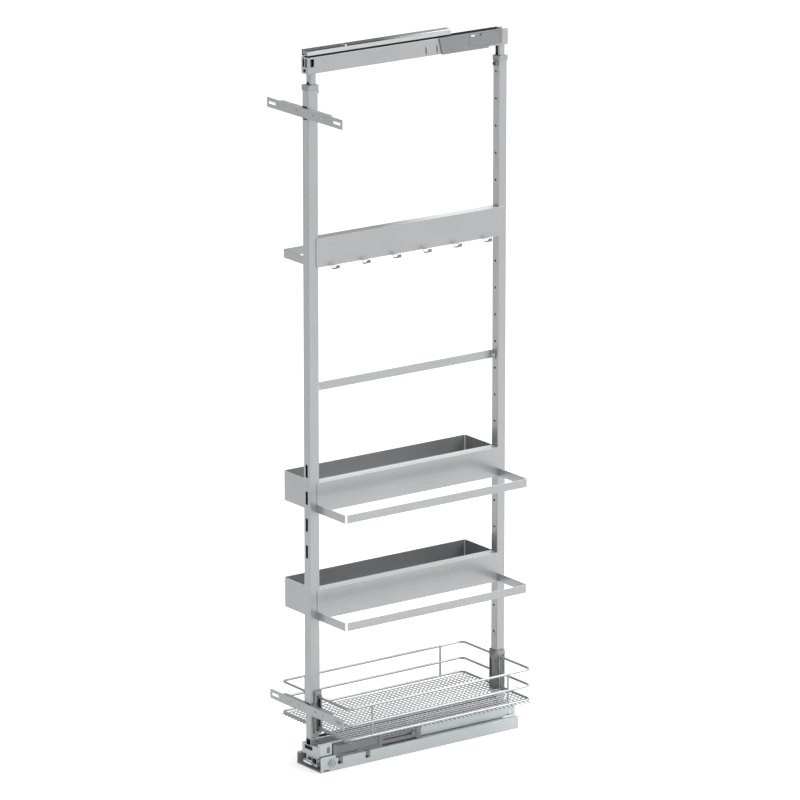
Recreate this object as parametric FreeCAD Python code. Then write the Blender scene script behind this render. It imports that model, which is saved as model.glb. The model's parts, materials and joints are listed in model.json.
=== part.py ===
"""Pull-out pantry frame for a tall narrow cabinet: floor runner, posts, head, trays, hooks and basket.

X runs across the cabinet, -Y points out of the cabinet towards the door, +Z is up.  The origin is the
centre of the floor screw pattern, on the underside of the floor rail.  All sizes are in millimetres.
"""
import FreeCAD, Part
import os

Vector = FreeCAD.Vector

# ---- driving dimensions --------------------------------------------------------------------------
RAIL_LENGTH = 500.0          # floor rail, front to back
RAIL_WIDTH = 84.0
RAIL_HEIGHT = 25.5
RAIL_SHEET = 1.5
RAIL_LIP = 11.0
EAR_LENGTH = 37.0            # raised front end of the right-hand wall
EAR_HEIGHT = 33.0
FLOOR_SCREW_SPACING_X = 50.0
FLOOR_SCREW_SPACING_Y = 400.0
FLOOR_SCREW_RADIUS = 2.75

CARRIAGE_WIDTH = 60.0
CARRIAGE_HEIGHT = 22.5
CARRIAGE_LIP = 9.5
CARRIAGE_GAP = 0.6           # above the floor rail's lips
CARRIAGE_SETBACK = 4.0       # front end, behind the floor rail's front end

MID_WIDTH = 38.0             # middle rail, a rectangular tube between the two
MID_FLOOR_GAP = 3.0
MID_TOP_GAP = 4.0
MID_FRONT_SETBACK = 7.0
MID_BACK_SETBACK = 23.0

FRAME_OVERHANG = 3.0         # front post ahead of the floor rail
FRAME_BACK_SETBACK = 13.0    # back post's rear face, ahead of the floor rail's rear end
POST_WIDTH = 21.0
FRONT_POST_DEPTH = 24.0
BACK_POST_DEPTH = 20.0
POST_WALL = 1.5
POST_CORNER = 2.0
POST_TOP = 1409.0
POST_FOOT_CLEARANCE = 95.0   # front post's lower end above the carriage
BOTTOM_TUBE_HEIGHT = 16.0
FOOT_OVERLAP = 60.0          # foot post inside the front post

HOLE_PITCH = 56.25
FIRST_HOLE_Z = 206.0
HOLE_COUNT = 22
HOLE_RADIUS = 2.2
SLOT_LEVELS = (4, 5, 6, 7)   # front slots, half a pitch above these holes
SLOT_WIDTH = 7.5
SLOT_LENGTH = 27.5

TRAY_REACH = 106.0           # from the middle plane to the tray's outer wall
TRAY_HEIGHT = 62.0
TRAY_SHEET = 1.2
TRAY_CORNER = 4.0
TRAY_LEVELS = (2, 6)         # hole below each tray's fixing, counted from the first
TRAY_LAP_FRONT = 6.6         # front plate over the front post
TRAY_LAP_BACK = 15.0         # front plate over the back post
TRAY_END_LAP = 4.0           # box behind the back post's inner face
BOTTLE_RAIL_REACH = 109.5
BOTTLE_RAIL_HEIGHT = 17.0
BOTTLE_RAIL_THICKNESS = 2.0
BOTTLE_RAIL_CORNER = 6.0

HOOK_LEVEL = 15              # hole below the hook strip's fixing
HOOK_STRIP_HEIGHT = 60.0
HOOK_COUNT = 6
HOOK_PITCH = 75.5
HOOK_ROW_SHIFT = 3.0         # row's middle behind the strip's middle
HOOK_WIDTH = 14.0
HOOK_REACH = 17.0
HOOK_DROP = 4.5              # below the strip's edge
HOOK_TIP = 4.0               # above the strip's edge
HOOK_THICKNESS = 1.6

BAR_LEVEL = 10               # hole below the towel bar's fixing
BAR_HEIGHT = 16.8
BAR_THICKNESS = 2.5
BAR_TAB = 13.0

BASKET_HALF_WIDTH = 117.5    # to the wire's centre line
BASKET_FRONT_INSET = 5.0     # front wire behind the front post's inner face, negative side
BASKET_BACK_INSET = 7.0
BASKET_WIRE = 2.6            # radius
BASKET_UPRIGHT = 2.0
BASKET_FLOOR_Z = 87.6
BASKET_MID_Z = 117.4
BASKET_RIM_Z = 152.5
BASKET_CORNER = 12.0
UPRIGHT_INSET = 58.0
MESH_PITCH = 10.5
MESH_WIRE = 2.2

BRACKET_LENGTH = 258.0
BRACKET_HEIGHT = 20.0
BRACKET_PLATE = 1.5
BRACKET_WEB = 1.0
BRACKET_SLOT_SPACING = 222.0
BRACKET_SLOT_LENGTH = 25.0
BRACKET_SLOT_WIDTH = 5.5
BRACKET_HOLE_SPACING = 115.0
BRACKET_HOLE_RADIUS = 2.2
BRACKET_RIVET_SPACING = 58.0
CLAMP_LENGTH = 172.0
CLAMP_DEPTH = 7.0
BRACKET_LEVELS = (127.5, 1363.4)

COLLAR_HEIGHT = 10.5
COLLAR_RIM = 1.6
SPIGOT_WALL = 1.2
SPIGOT_DEPTH = 22.0
INNER_TUBE_WIDTH = 16.0
INNER_TUBE_DEPTH = 13.0
INNER_TUBE_WALL = 1.2
INNER_TUBE_LENGTH = 190.0
HEAD_GAP = 23.0              # beam above the collars

BEAM_WIDTH = 22.0
BEAM_HEIGHT = 34.0
BEAM_SHEET = 1.5
BEAM_SLOT = 9.0
BEAM_OVERHANG = 1.0          # ahead of the front post
TOP_GAP = 2.0                # cabinet rail above the beam
TOP_RAIL_WIDTH = 20.0
TOP_RAIL_HEIGHT = 12.5
TOP_RAIL_SHEET = 1.2
TOP_RAIL_LENGTH = 351.0
TOP_SCREW_SPACING = 270.0
TOP_SCREW_RADIUS = 2.3

RUN_GAP = 0.3                # between pieces that slide past each other
SEAT_GAP = 0.1               # between fixed pieces that lie against each other
SHAFT_GAP = 0.05             # radial, wheel on axle

# ---- derived levels and planes -------------------------------------------------------------------
RAIL_FRONT = -RAIL_LENGTH / 2
RAIL_BACK = RAIL_LENGTH / 2
CARRIAGE_Z = RAIL_HEIGHT + CARRIAGE_GAP
CARRIAGE_TOP = CARRIAGE_Z + CARRIAGE_HEIGHT
TUBE_TOP = CARRIAGE_TOP + BOTTOM_TUBE_HEIGHT
FRAME_FRONT = RAIL_FRONT - FRAME_OVERHANG
FRAME_BACK = RAIL_BACK - FRAME_BACK_SETBACK
FRONT_INNER = FRAME_FRONT + FRONT_POST_DEPTH
BACK_INNER = FRAME_BACK - BACK_POST_DEPTH
POST_HALF = POST_WIDTH / 2
FOOT_HALF = POST_HALF - POST_WALL - RUN_GAP
COLLAR_TOP = POST_TOP + COLLAR_HEIGHT
BEAM_Z = COLLAR_TOP + HEAD_GAP
BEAM_TOP = BEAM_Z + BEAM_HEIGHT
BEAM_HALF = BEAM_WIDTH / 2
BEAM_FRONT = FRAME_FRONT - BEAM_OVERHANG
TOP_RAIL_Z = BEAM_TOP + TOP_GAP
TOP_RAIL_TOP = TOP_RAIL_Z + TOP_RAIL_HEIGHT
CLAMP_SCREW_Z = POST_TOP - 5.5


def hole_z(level):
    """Height of a post hole; halves lie between two holes."""
    return FIRST_HOLE_Z + HOLE_PITCH * level


# ---- shape helpers -------------------------------------------------------------------------------
def box(x, y, z):
    """Box from three (low, high) pairs."""
    return Part.makeBox(x[1] - x[0], y[1] - y[0], z[1] - z[0], Vector(x[0], y[0], z[0]))


def rounded_box(x, y, z, axis, radius):
    """Box whose four edges along an axis are rounded."""
    shape = box(x, y, z)
    index = "xyz".index(axis)
    edges = []
    for edge in shape.Edges:
        run = edge.Vertexes[1].Point - edge.Vertexes[0].Point
        if abs(run[index]) > 1e-6:
            edges.append(edge)
    return shape.makeFillet(radius, edges)


def grown(span, amount):
    """A (low, high) pair made larger by an amount at both ends."""
    return (span[0] - amount, span[1] + amount)


def rod(centre, radius, length, axis):
    """Cylinder that starts at a point and runs along a direction."""
    return Part.makeCylinder(radius, length, Vector(*centre), Vector(*axis))


def mirrored(shape):
    """The same shape on the other side of the middle plane."""
    return shape.mirror(Vector(0, 0, 0), Vector(1, 0, 0))


def tube_z(x, y, z, wall, corner):
    """Upright rectangular tube."""
    outer = rounded_box(x, y, z, "z", corner)
    bore = rounded_box(grown(x, -wall), grown(y, -wall), grown(z, 1.0), "z", max(corner - wall, 0.4))
    return outer.cut(bore)


def lipped_channel(half, y, z, sheet, opening, upwards):
    """Channel along Y with inward lips, open at the top or at the bottom."""
    outer = rounded_box((-half, half), y, z, "y", sheet * 0.9)
    cavity = box((sheet - half, half - sheet), grown(y, 1.0), grown(z, -sheet))
    slot_z = (z[1] - sheet - 1, z[1] + 1) if upwards else (z[0] - 1, z[0] + sheet + 1)
    slot = box((-opening / 2, opening / 2), grown(y, 1.0), slot_z)
    return outer.cut([cavity, slot])


def bent_strip(x, y, z, thickness, corner):
    """Closed rectangular band of flat strip, upright, with rounded corners."""
    outer = rounded_box(x, y, z, "z", corner)
    inner_corner = max(corner - thickness, 0.4)
    inner = rounded_box(grown(x, -thickness), grown(y, -thickness), grown(z, 1.0), "z", inner_corner)
    return outer.cut(inner)


def stadium(centre, length, width, depth, along):
    """Slot cutter through Y, long along x or z."""
    half = length / 2 - width / 2
    step = (half, 0, 0) if along == "x" else (0, 0, half)
    ends = []
    for sign in (-1, 1):
        point = [centre[i] + sign * step[i] for i in range(3)]
        ends.append(rod(point, width / 2, depth, (0, 1, 0)))
    x = (centre[0] - half, centre[0] + half) if along == "x" else grown((centre[0], centre[0]), width / 2)
    z = grown((centre[2], centre[2]), width / 2) if along == "x" else (centre[2] - half, centre[2] + half)
    return ends[0].fuse([ends[1], box(x, (centre[1], centre[1] + depth), z)]).removeSplitter()


def save(name, *shapes):
    """Write one node: a solid, or a group of separate solids."""
    shape = shapes[0] if len(shapes) == 1 else Part.makeCompound(list(shapes))
    shape.exportStep("parts/" + name + ".step")


# ---- floor runner --------------------------------------------------------------------------------
WALL_X = RAIL_WIDTH / 2
LIP_EDGE = WALL_X - RAIL_LIP
ADJUSTER_Y = RAIL_FRONT + 27.5
ADJUSTER_Z = RAIL_HEIGHT / 2 + 4.0
ADJUSTER_RADIUS = 8.2
RIVET_RADIUS = 2.5
CLIP_YS = (RAIL_FRONT + 45.0, RAIL_FRONT + 113.5)
CLIP_WIDTH = 8.0
HOUSING_X = (CARRIAGE_WIDTH / 2 + 1.5, CARRIAGE_WIDTH / 2 + 7.5)
HOUSING_Y = (RAIL_FRONT + 34.0, RAIL_FRONT + 156.0)
HOUSING_TOP = RAIL_HEIGHT + 28.5
TRACK_Y = (HOUSING_Y[1], HOUSING_Y[1] + 98.0)
TRACK_END = 12.0
TRACK_SLOT_Z = (RAIL_HEIGHT + 12.0, RAIL_HEIGHT + 16.5)
CATCH_LENGTH = 10.0


def floor_rail():
    """Lipped channel screwed to the cabinet floor, with its screw holes and side openings."""
    opening = RAIL_WIDTH - 2 * RAIL_LIP
    rail = lipped_channel(WALL_X, (RAIL_FRONT, RAIL_BACK), (0, RAIL_HEIGHT), RAIL_SHEET, opening, True)
    ear_y = (RAIL_FRONT, RAIL_FRONT + EAR_LENGTH)
    ear = box((WALL_X - RAIL_SHEET, WALL_X), ear_y, (RAIL_SHEET, EAR_HEIGHT))
    corners = [e for e in ear.Edges if abs(e.CenterOfMass.z - EAR_HEIGHT) < 1e-6 and e.Length < 2 * RAIL_SHEET]
    rail = rail.fuse(ear.makeFillet(3.0, corners)).removeSplitter()
    cuts = []
    for x in (-FLOOR_SCREW_SPACING_X / 2, FLOOR_SCREW_SPACING_X / 2):
        for y in (-FLOOR_SCREW_SPACING_Y / 2, FLOOR_SCREW_SPACING_Y / 2):
            cuts.append(rod((x, y, -1), FLOOR_SCREW_RADIUS, RAIL_SHEET + 2, (0, 0, 1)))
    side = (WALL_X - RAIL_SHEET - 1, WALL_X + 1)
    for y in CLIP_YS:
        cuts.append(box(side, (y, y + CLIP_WIDTH), (RAIL_HEIGHT - 14.0, RAIL_HEIGHT - 7.0)))
    cuts.append(box(side, (RAIL_FRONT + 7, RAIL_FRONT + 21), (RAIL_SHEET + 0.6, RAIL_SHEET + 3.0)))
    cuts.append(rod((side[0], ADJUSTER_Y, ADJUSTER_Z), RIVET_RADIUS, 4, (1, 0, 0)))
    return rail.cut(cuts)


def damper_housing():
    """Soft-close housing that sits on the rail's lip and clips into its side wall."""
    body = rounded_box(HOUSING_X, HOUSING_Y, (RAIL_HEIGHT, HOUSING_TOP), "x", 2.5)
    recess = box((HOUSING_X[1] - 1.0, HOUSING_X[1] + 1), grown(HOUSING_Y, -9.0), (RAIL_HEIGHT + 6, HOUSING_TOP - 6))
    body = body.cut(recess)
    outside = (WALL_X + SEAT_GAP, WALL_X + SEAT_GAP + 1.8)
    for y in CLIP_YS:
        span = (y, y + CLIP_WIDTH)
        bridge = box((HOUSING_X[1] - 2, outside[1]), span, (RAIL_HEIGHT + SEAT_GAP, RAIL_HEIGHT + 2.0))
        leg = box(outside, span, (RAIL_HEIGHT - 13.0, RAIL_HEIGHT + 2.0))
        hook = box((WALL_X - 1.0, outside[1]), grown(span, -1.0), (RAIL_HEIGHT - 13.0, RAIL_HEIGHT - 9.0))
        body = body.fuse([bridge, leg, hook])
    return body.removeSplitter()


def damper_track():
    """Slotted arm behind the housing, ending in a block."""
    x = (HOUSING_X[0] + 0.5, HOUSING_X[1] - 1.5)
    arm = box(x, TRACK_Y, (RAIL_HEIGHT + 4, HOUSING_TOP - 4))
    block_y = (TRACK_Y[1] - TRACK_END, TRACK_Y[1])
    block = rounded_box(HOUSING_X, block_y, (RAIL_HEIGHT, HOUSING_TOP - 2), "x", 1.5)
    slot_y = (TRACK_Y[0] + 4, TRACK_Y[1] - TRACK_END - 2)
    slot = box(grown(x, 1), slot_y, TRACK_SLOT_Z)
    rib = box((x[1] - 1.0, x[1] + 1), slot_y, (TRACK_SLOT_Z[1] + 3, TRACK_SLOT_Z[1] + 4.5))
    return arm.fuse(block).cut([slot, rib]).removeSplitter()


def damper_catch():
    """Sliding catch in the arm's slot, shown drawn in."""
    y1 = TRACK_Y[1] - TRACK_END - 2 - RUN_GAP
    z = grown(TRACK_SLOT_Z, -RUN_GAP)
    stem = box((HOUSING_X[0] + 0.2, HOUSING_X[1] + 0.2), (y1 - CATCH_LENGTH, y1), z)
    head_x = (HOUSING_X[1] - 1.5 + RUN_GAP, HOUSING_X[1] + 1.2)
    head = box(head_x, (y1 - CATCH_LENGTH, y1), grown(TRACK_SLOT_Z, 1.6))
    return stem.fuse(head).removeSplitter()


def adjuster_disc():
    """Round adjusting cam on the rail's side wall, with a driver slot."""
    x = WALL_X + SEAT_GAP
    disc = rod((x, ADJUSTER_Y, ADJUSTER_Z), ADJUSTER_RADIUS, 2.4, (1, 0, 0))
    bore = rod((x - 1, ADJUSTER_Y, ADJUSTER_Z), RIVET_RADIUS + SHAFT_GAP, 5, (1, 0, 0))
    notches = []
    for y in (ADJUSTER_Y - 6.4, ADJUSTER_Y + 4.2):
        notches.append(box((x + 1.2, x + 4), (y, y + 2.2), grown((ADJUSTER_Z, ADJUSTER_Z), 0.9)))
    return disc.cut([bore] + notches)


def adjuster_rivet():
    """Rivet that carries the adjusting cam."""
    start = WALL_X - RAIL_SHEET - 0.6
    shank = rod((start, ADJUSTER_Y, ADJUSTER_Z), RIVET_RADIUS, 4.9, (1, 0, 0))
    inner = rod((start, ADJUSTER_Y, ADJUSTER_Z), RIVET_RADIUS + 1.2, 0.6, (1, 0, 0))
    outer_x = WALL_X + SEAT_GAP + 2.4 + SEAT_GAP
    outer = rod((outer_x, ADJUSTER_Y, ADJUSTER_Z), RIVET_RADIUS + 1.2, 0.8, (1, 0, 0))
    return shank.fuse([inner, outer]).removeSplitter()


# ---- middle rail and its rollers -----------------------------------------------------------------
MID_HALF = MID_WIDTH / 2
MID_Z = (RAIL_SHEET + MID_FLOOR_GAP, CARRIAGE_TOP - RAIL_SHEET - MID_TOP_GAP)
MID_Y = (RAIL_FRONT + MID_FRONT_SETBACK, RAIL_BACK - MID_BACK_SETBACK)
LOWER_Z = RAIL_HEIGHT / 2
LOWER_RADIUS = (RAIL_HEIGHT - 2 * RAIL_SHEET) / 2 - RUN_GAP
LOWER_X = (LIP_EDGE + 1.0, WALL_X - RAIL_SHEET - 2.2)
LOWER_YS = {"front": -2.0, "rear": MID_Y[1] - 20.0}
UPPER_Z = (CARRIAGE_Z + CARRIAGE_TOP) / 2
UPPER_RADIUS = (CARRIAGE_HEIGHT - 2 * RAIL_SHEET) / 2 - RUN_GAP
UPPER_X = (MID_HALF + 2.0, CARRIAGE_WIDTH / 2 - RAIL_SHEET - 1.5)
UPPER_YS = {"front": MID_Y[0] + 20.0, "rear": -12.0}
AXLE_RADIUS = 3.0


def roller_pair(x, y, z, radius):
    """Two plastic wheels on one axle, grooved and rounded."""
    wheels = []
    for side in (x, (-x[1], -x[0])):
        wheel = rod((side[0], y, z), radius, side[1] - side[0], (1, 0, 0))
        wheel = wheel.makeChamfer(0.5, [e for e in wheel.Edges if e.Closed])
        wheels.append(wheel.cut(rod((side[0] - 1, y, z), AXLE_RADIUS + SHAFT_GAP, 20, (1, 0, 0))))
    return wheels


def roller_axle(x, y, z):
    """Stepped axle through the middle rail: shoulders inside the wheels, heads outside."""
    end = x[1] + 0.9
    shape = rod((-end, y, z), AXLE_RADIUS, 2 * end, (1, 0, 0))
    shoulder = x[0] - MID_HALF - 2 * SEAT_GAP
    for sign in (-1, 1):
        start = sign * (MID_HALF + SEAT_GAP)
        shape = shape.fuse(rod((start, y, z), AXLE_RADIUS + 1.6, shoulder, (sign, 0, 0)))
        start = sign * (x[1] + SEAT_GAP)
        shape = shape.fuse(rod((start, y, z), AXLE_RADIUS + 1.2, 0.8, (sign, 0, 0)))
    return shape.removeSplitter()


def mid_rail():
    """Rectangular tube that carries both roller sets, closed in front by a plate with two windows."""
    outer = rounded_box((-MID_HALF, MID_HALF), MID_Y, MID_Z, "y", 1.6)
    bore_y = (MID_Y[0] + RAIL_SHEET, MID_Y[1] + 1)
    cuts = [box(grown((-MID_HALF, MID_HALF), -RAIL_SHEET), bore_y, grown(MID_Z, -RAIL_SHEET))]
    for x in ((-MID_HALF * 0.6, -MID_HALF * 0.15), (MID_HALF * 0.15, MID_HALF * 0.85)):
        cuts.append(box(x, (MID_Y[0] - 1, bore_y[0] + 1), (MID_Z[0] + 6.0, MID_Z[0] + 17.0)))
    for y in LOWER_YS.values():
        cuts.append(rod((-MID_HALF - 1, y, LOWER_Z), AXLE_RADIUS + SHAFT_GAP, MID_WIDTH + 2, (1, 0, 0)))
    for y in UPPER_YS.values():
        cuts.append(rod((-MID_HALF - 1, y, UPPER_Z), AXLE_RADIUS + SHAFT_GAP, MID_WIDTH + 2, (1, 0, 0)))
    return outer.cut(cuts)


# ---- carriage and frame --------------------------------------------------------------------------
CARRIAGE_Y = (RAIL_FRONT + CARRIAGE_SETBACK, RAIL_BACK)
BLOCK_X = (FOOT_HALF + 3.3, RAIL_WIDTH / 2 - 4.0)
BLOCK_Y = (RAIL_FRONT, HOUSING_Y[0] - 4.0)
BLOCK_Z = (RAIL_HEIGHT + 8.5, TUBE_TOP - 4.5)
BLOCK_SHEET = 1.5
BLOCK_FLANGE_TOP = CARRIAGE_TOP + 3.5
BLOCK_STRIP_END = RAIL_FRONT + 58.0
BLOCK_STRIP_WIDTH = 5.0


def carriage():
    """Moving channel of the runner, upside down over the middle rail and closed in front."""
    opening = CARRIAGE_WIDTH - 2 * CARRIAGE_LIP
    z = (CARRIAGE_Z, CARRIAGE_TOP)
    channel = lipped_channel(CARRIAGE_WIDTH / 2, CARRIAGE_Y, z, RAIL_SHEET, opening, False)
    inner = CARRIAGE_WIDTH / 2 - RAIL_SHEET
    end_y = (CARRIAGE_Y[0], CARRIAGE_Y[0] + RAIL_SHEET)
    channel = channel.fuse(box((-inner, inner), end_y, grown(z, -RAIL_SHEET))).removeSplitter()
    side = CARRIAGE_WIDTH / 2 - RAIL_SHEET - 1
    hole = rod((side, CARRIAGE_Y[1] - 10.5, CARRIAGE_Z + 8), 2.0, 4, (1, 0, 0))
    slot = box((side, side + 4), (CARRIAGE_Y[1] - 24, CARRIAGE_Y[1] - 15), (CARRIAGE_Z + 3, CARRIAGE_Z + 5.5))
    return channel.cut([hole, slot])


def front_block():
    """Bent sheet bracket on the carriage's front, right-hand side, with an oval hole and a top strip."""
    outer = box(BLOCK_X, BLOCK_Y, BLOCK_Z)
    bend = [e for e in outer.Edges if abs(e.CenterOfMass.x - BLOCK_X[1]) < 1e-6
            and abs(e.CenterOfMass.y - BLOCK_Y[0]) < 1e-6 and e.Length > 20]
    outer = outer.makeFillet(6.0, bend)
    inside = box((BLOCK_X[0] - 1, BLOCK_X[1] - BLOCK_SHEET), (BLOCK_Y[0] + BLOCK_SHEET, BLOCK_Y[1] + 1),
                 grown(BLOCK_Z, 1))
    inner_bend = [e for e in inside.Edges if abs(e.CenterOfMass.x - BLOCK_X[1] + BLOCK_SHEET) < 1e-6
                  and abs(e.CenterOfMass.y - BLOCK_Y[0] - BLOCK_SHEET) < 1e-6 and e.Length > 20]
    inside = inside.makeFillet(4.5, inner_bend)
    above_flange = box((BLOCK_X[0] - 1, BLOCK_X[1] - 6.0), (BLOCK_Y[0] - 1, BLOCK_Y[0] + 4.0),
                       (BLOCK_FLANGE_TOP, BLOCK_Z[1] + 1))
    bracket = outer.cut([inside, above_flange])
    seat_z = (CARRIAGE_TOP + SEAT_GAP, CARRIAGE_TOP + SEAT_GAP + BLOCK_SHEET)
    seat = box((BLOCK_X[0], BLOCK_X[1] - BLOCK_SHEET / 2), (BLOCK_Y[0] + BLOCK_SHEET / 2, BLOCK_Y[1]), seat_z)
    strip = box((BLOCK_X[1] - BLOCK_STRIP_WIDTH, BLOCK_X[1]), (BLOCK_Y[0] + 6.0, BLOCK_STRIP_END),
                (BLOCK_Z[1] - BLOCK_SHEET, BLOCK_Z[1]))
    oval = stadium((0, 0, 0), 14.0, 8.0, 6.0, "z")
    oval.rotate(Vector(0, 0, 0), Vector(0, 0, 1), -90)
    oval.translate(Vector(BLOCK_X[1] - 3, BLOCK_Y[0] + 21.5, (BLOCK_Z[0] + BLOCK_Z[1]) / 2 - 2.0))
    return bracket.fuse([seat, strip]).removeSplitter().cut(oval)


def bottom_tube():
    """Square tube on the carriage, from the foot post back to the back post, open in front."""
    x = (-FOOT_HALF, FOOT_HALF)
    y = (FRAME_FRONT + POST_WALL + RUN_GAP, BACK_INNER - SEAT_GAP)
    z = (CARRIAGE_TOP + SEAT_GAP, TUBE_TOP)
    outer = rounded_box(x, y, z, "y", 1.8)
    hole = rod((FOOT_HALF - 4, y[0] + 16, CARRIAGE_TOP + 8), 2.0, 6, (1, 0, 0))
    return outer.cut([box(grown(x, -1.6), grown(y, 1), grown(z, -1.6)), hole])


def foot_post():
    """Short inner tube that lifts the front post off the bottom tube."""
    x = (-FOOT_HALF, FOOT_HALF)
    y = (FRAME_FRONT + POST_WALL + RUN_GAP, FRONT_INNER - POST_WALL - RUN_GAP)
    top = CARRIAGE_TOP + POST_FOOT_CLEARANCE + FOOT_OVERLAP
    return tube_z(x, y, (TUBE_TOP + SEAT_GAP, top), POST_WALL, 1.6)


FITTING_LEVELS = TRAY_LEVELS + (BAR_LEVEL, HOOK_LEVEL)


def inner_face_holes(y, depth):
    """Hole cutters in a post's inner face: the pitch holes and the fittings' fixing holes."""
    levels = list(range(HOLE_COUNT)) + [level + 0.5 for level in FITTING_LEVELS]
    return [rod((0, y, hole_z(level)), HOLE_RADIUS, depth, (0, 1, 0)) for level in levels]


def front_post():
    """Outer front post with slots on its front face and holes on its inner face."""
    z = (CARRIAGE_TOP + POST_FOOT_CLEARANCE, POST_TOP)
    post = tube_z((-POST_HALF, POST_HALF), (FRAME_FRONT, FRONT_INNER), z, POST_WALL, POST_CORNER)
    cuts = inner_face_holes(FRONT_INNER - POST_WALL - 1, POST_WALL + 2)
    for level in SLOT_LEVELS:
        centre = (0, FRAME_FRONT - 1, hole_z(level + 0.5))
        cuts.append(stadium(centre, SLOT_LENGTH, SLOT_WIDTH, POST_WALL + 2, "z"))
    cuts.append(rod((0, FRONT_INNER - POST_WALL - 1, CLAMP_SCREW_Z), HOLE_RADIUS, POST_WALL + 2, (0, 1, 0)))
    return post.cut(cuts)


def back_post():
    """Back post, standing on the carriage, with a row of holes on its inner face."""
    z = (CARRIAGE_TOP + SEAT_GAP, POST_TOP)
    post = tube_z((-POST_HALF, POST_HALF), (BACK_INNER, FRAME_BACK), z, POST_WALL, POST_CORNER)
    cuts = inner_face_holes(BACK_INNER - 1, POST_WALL + 2)
    cuts.append(rod((0, BACK_INNER - 1, CLAMP_SCREW_Z), HOLE_RADIUS, POST_WALL + 2, (0, 1, 0)))
    return post.cut(cuts)


TUBE_SEAT = POST_WALL + SPIGOT_WALL + RUN_GAP
FRONT_TUBE_Y = (FRONT_INNER - TUBE_SEAT - INNER_TUBE_DEPTH, FRONT_INNER - TUBE_SEAT)
BACK_TUBE_Y = (BACK_INNER + TUBE_SEAT, BACK_INNER + TUBE_SEAT + INNER_TUBE_DEPTH)


def collar(post_y, tube_y, inner, into_frame):
    """Plastic collar on a post's top: rim, spigot inside the post and a boss for the clamp screw."""
    rim = rounded_box(grown((-POST_HALF, POST_HALF), COLLAR_RIM), grown(post_y, COLLAR_RIM),
                      (POST_TOP, COLLAR_TOP), "z", 3.0)
    inset = POST_WALL + SEAT_GAP
    spigot = rounded_box(grown((-POST_HALF, POST_HALF), -inset), grown(post_y, -inset),
                         (POST_TOP - SPIGOT_DEPTH, POST_TOP), "z", 0.8)
    boss_y = sorted((inner + into_frame * SEAT_GAP, inner + into_frame * 4.0))
    boss = rounded_box((-5, 5), tuple(boss_y), (CLAMP_SCREW_Z - 5.5, POST_TOP + 1), "y", 2.0)
    inner_half = INNER_TUBE_WIDTH / 2 + RUN_GAP
    bore = box((-inner_half, inner_half), grown(tube_y, RUN_GAP), (POST_TOP - SPIGOT_DEPTH - 1, COLLAR_TOP + 1))
    screw = rod((0, inner - 10, CLAMP_SCREW_Z), 2.0 + SHAFT_GAP, 20, (0, 1, 0))
    shape = rim.fuse([spigot, boss]).cut([bore, screw])
    return shape.removeSplitter()


def clamp_screw(inner, into_frame):
    """Clamp screw with a hexagon socket in its round head."""
    seat = inner + into_frame * 4.0
    shank = rod((0, seat, CLAMP_SCREW_Z), 2.0, 4.0 + TUBE_SEAT - RUN_GAP - SEAT_GAP, (0, -into_frame, 0))
    head = rod((0, seat, CLAMP_SCREW_Z), 3.6, 2.6, (0, into_frame, 0))
    socket = rod((0, seat + into_frame * 1.0, CLAMP_SCREW_Z), 1.6, 2.6, (0, into_frame, 0))
    return shank.fuse(head).cut(socket).removeSplitter()


# ---- door brackets -------------------------------------------------------------------------------
WEB_FRONT = FRAME_FRONT - BRACKET_WEB
PLATE_FRONT = WEB_FRONT - BRACKET_PLATE


def door_bracket(level):
    """Flat plate that takes the door: end slots, two holes and two rivet holes."""
    z = grown((level, level), BRACKET_HEIGHT / 2)
    plate = rounded_box(grown((0, 0), BRACKET_LENGTH / 2), (PLATE_FRONT, WEB_FRONT), z, "y", 1.0)
    cuts = []
    for sign in (-1, 1):
        centre = (sign * BRACKET_SLOT_SPACING / 2, PLATE_FRONT - 1, level)
        cuts.append(stadium(centre, BRACKET_SLOT_LENGTH, BRACKET_SLOT_WIDTH, BRACKET_PLATE + 2, "x"))
        hole = (sign * BRACKET_HOLE_SPACING / 2, PLATE_FRONT - 1, level)
        cuts.append(rod(hole, BRACKET_HOLE_RADIUS, BRACKET_PLATE + 2, (0, 1, 0)))
        rivet = (sign * BRACKET_RIVET_SPACING / 2, PLATE_FRONT - 1, level)
        cuts.append(rod(rivet, 1.6, BRACKET_PLATE + 2, (0, 1, 0)))
    return plate.cut(cuts)


def bracket_clamp(level):
    """Shallow channel behind the plate, notched round the post."""
    half = CLAMP_LENGTH / 2
    y = (WEB_FRONT, FRAME_FRONT + CLAMP_DEPTH)
    z = grown((level, level), BRACKET_HEIGHT / 2)
    outer = box((-half, half), y, z)
    inner = box(grown((-half, half), 1), (FRAME_FRONT, y[1] + 1), grown(z, -BRACKET_WEB))
    notch = box(grown((-POST_HALF, POST_HALF), RUN_GAP), (FRAME_FRONT, y[1] + 1), grown(z, 1))
    cuts = [inner, notch]
    for sign in (-1, 1):
        rivet = (sign * BRACKET_RIVET_SPACING / 2, WEB_FRONT - 1, level)
        cuts.append(rod(rivet, 1.6, BRACKET_WEB + 2, (0, 1, 0)))
        hole = (sign * BRACKET_HOLE_SPACING / 2, WEB_FRONT - 1, level)
        cuts.append(rod(hole, BRACKET_HOLE_RADIUS, BRACKET_WEB + 2, (0, 1, 0)))
    return outer.cut(cuts)


def bracket_rivet(level, x):
    """Rivet through plate and channel."""
    grip = BRACKET_PLATE + BRACKET_WEB
    shank = rod((x, PLATE_FRONT, level), 1.6, grip, (0, 1, 0))
    front = rod((x, PLATE_FRONT - 0.8, level), 2.7, 0.8, (0, 1, 0))
    back = rod((x, FRAME_FRONT, level), 2.4, 0.8, (0, 1, 0))
    return shank.fuse([front, back]).removeSplitter()


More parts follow.
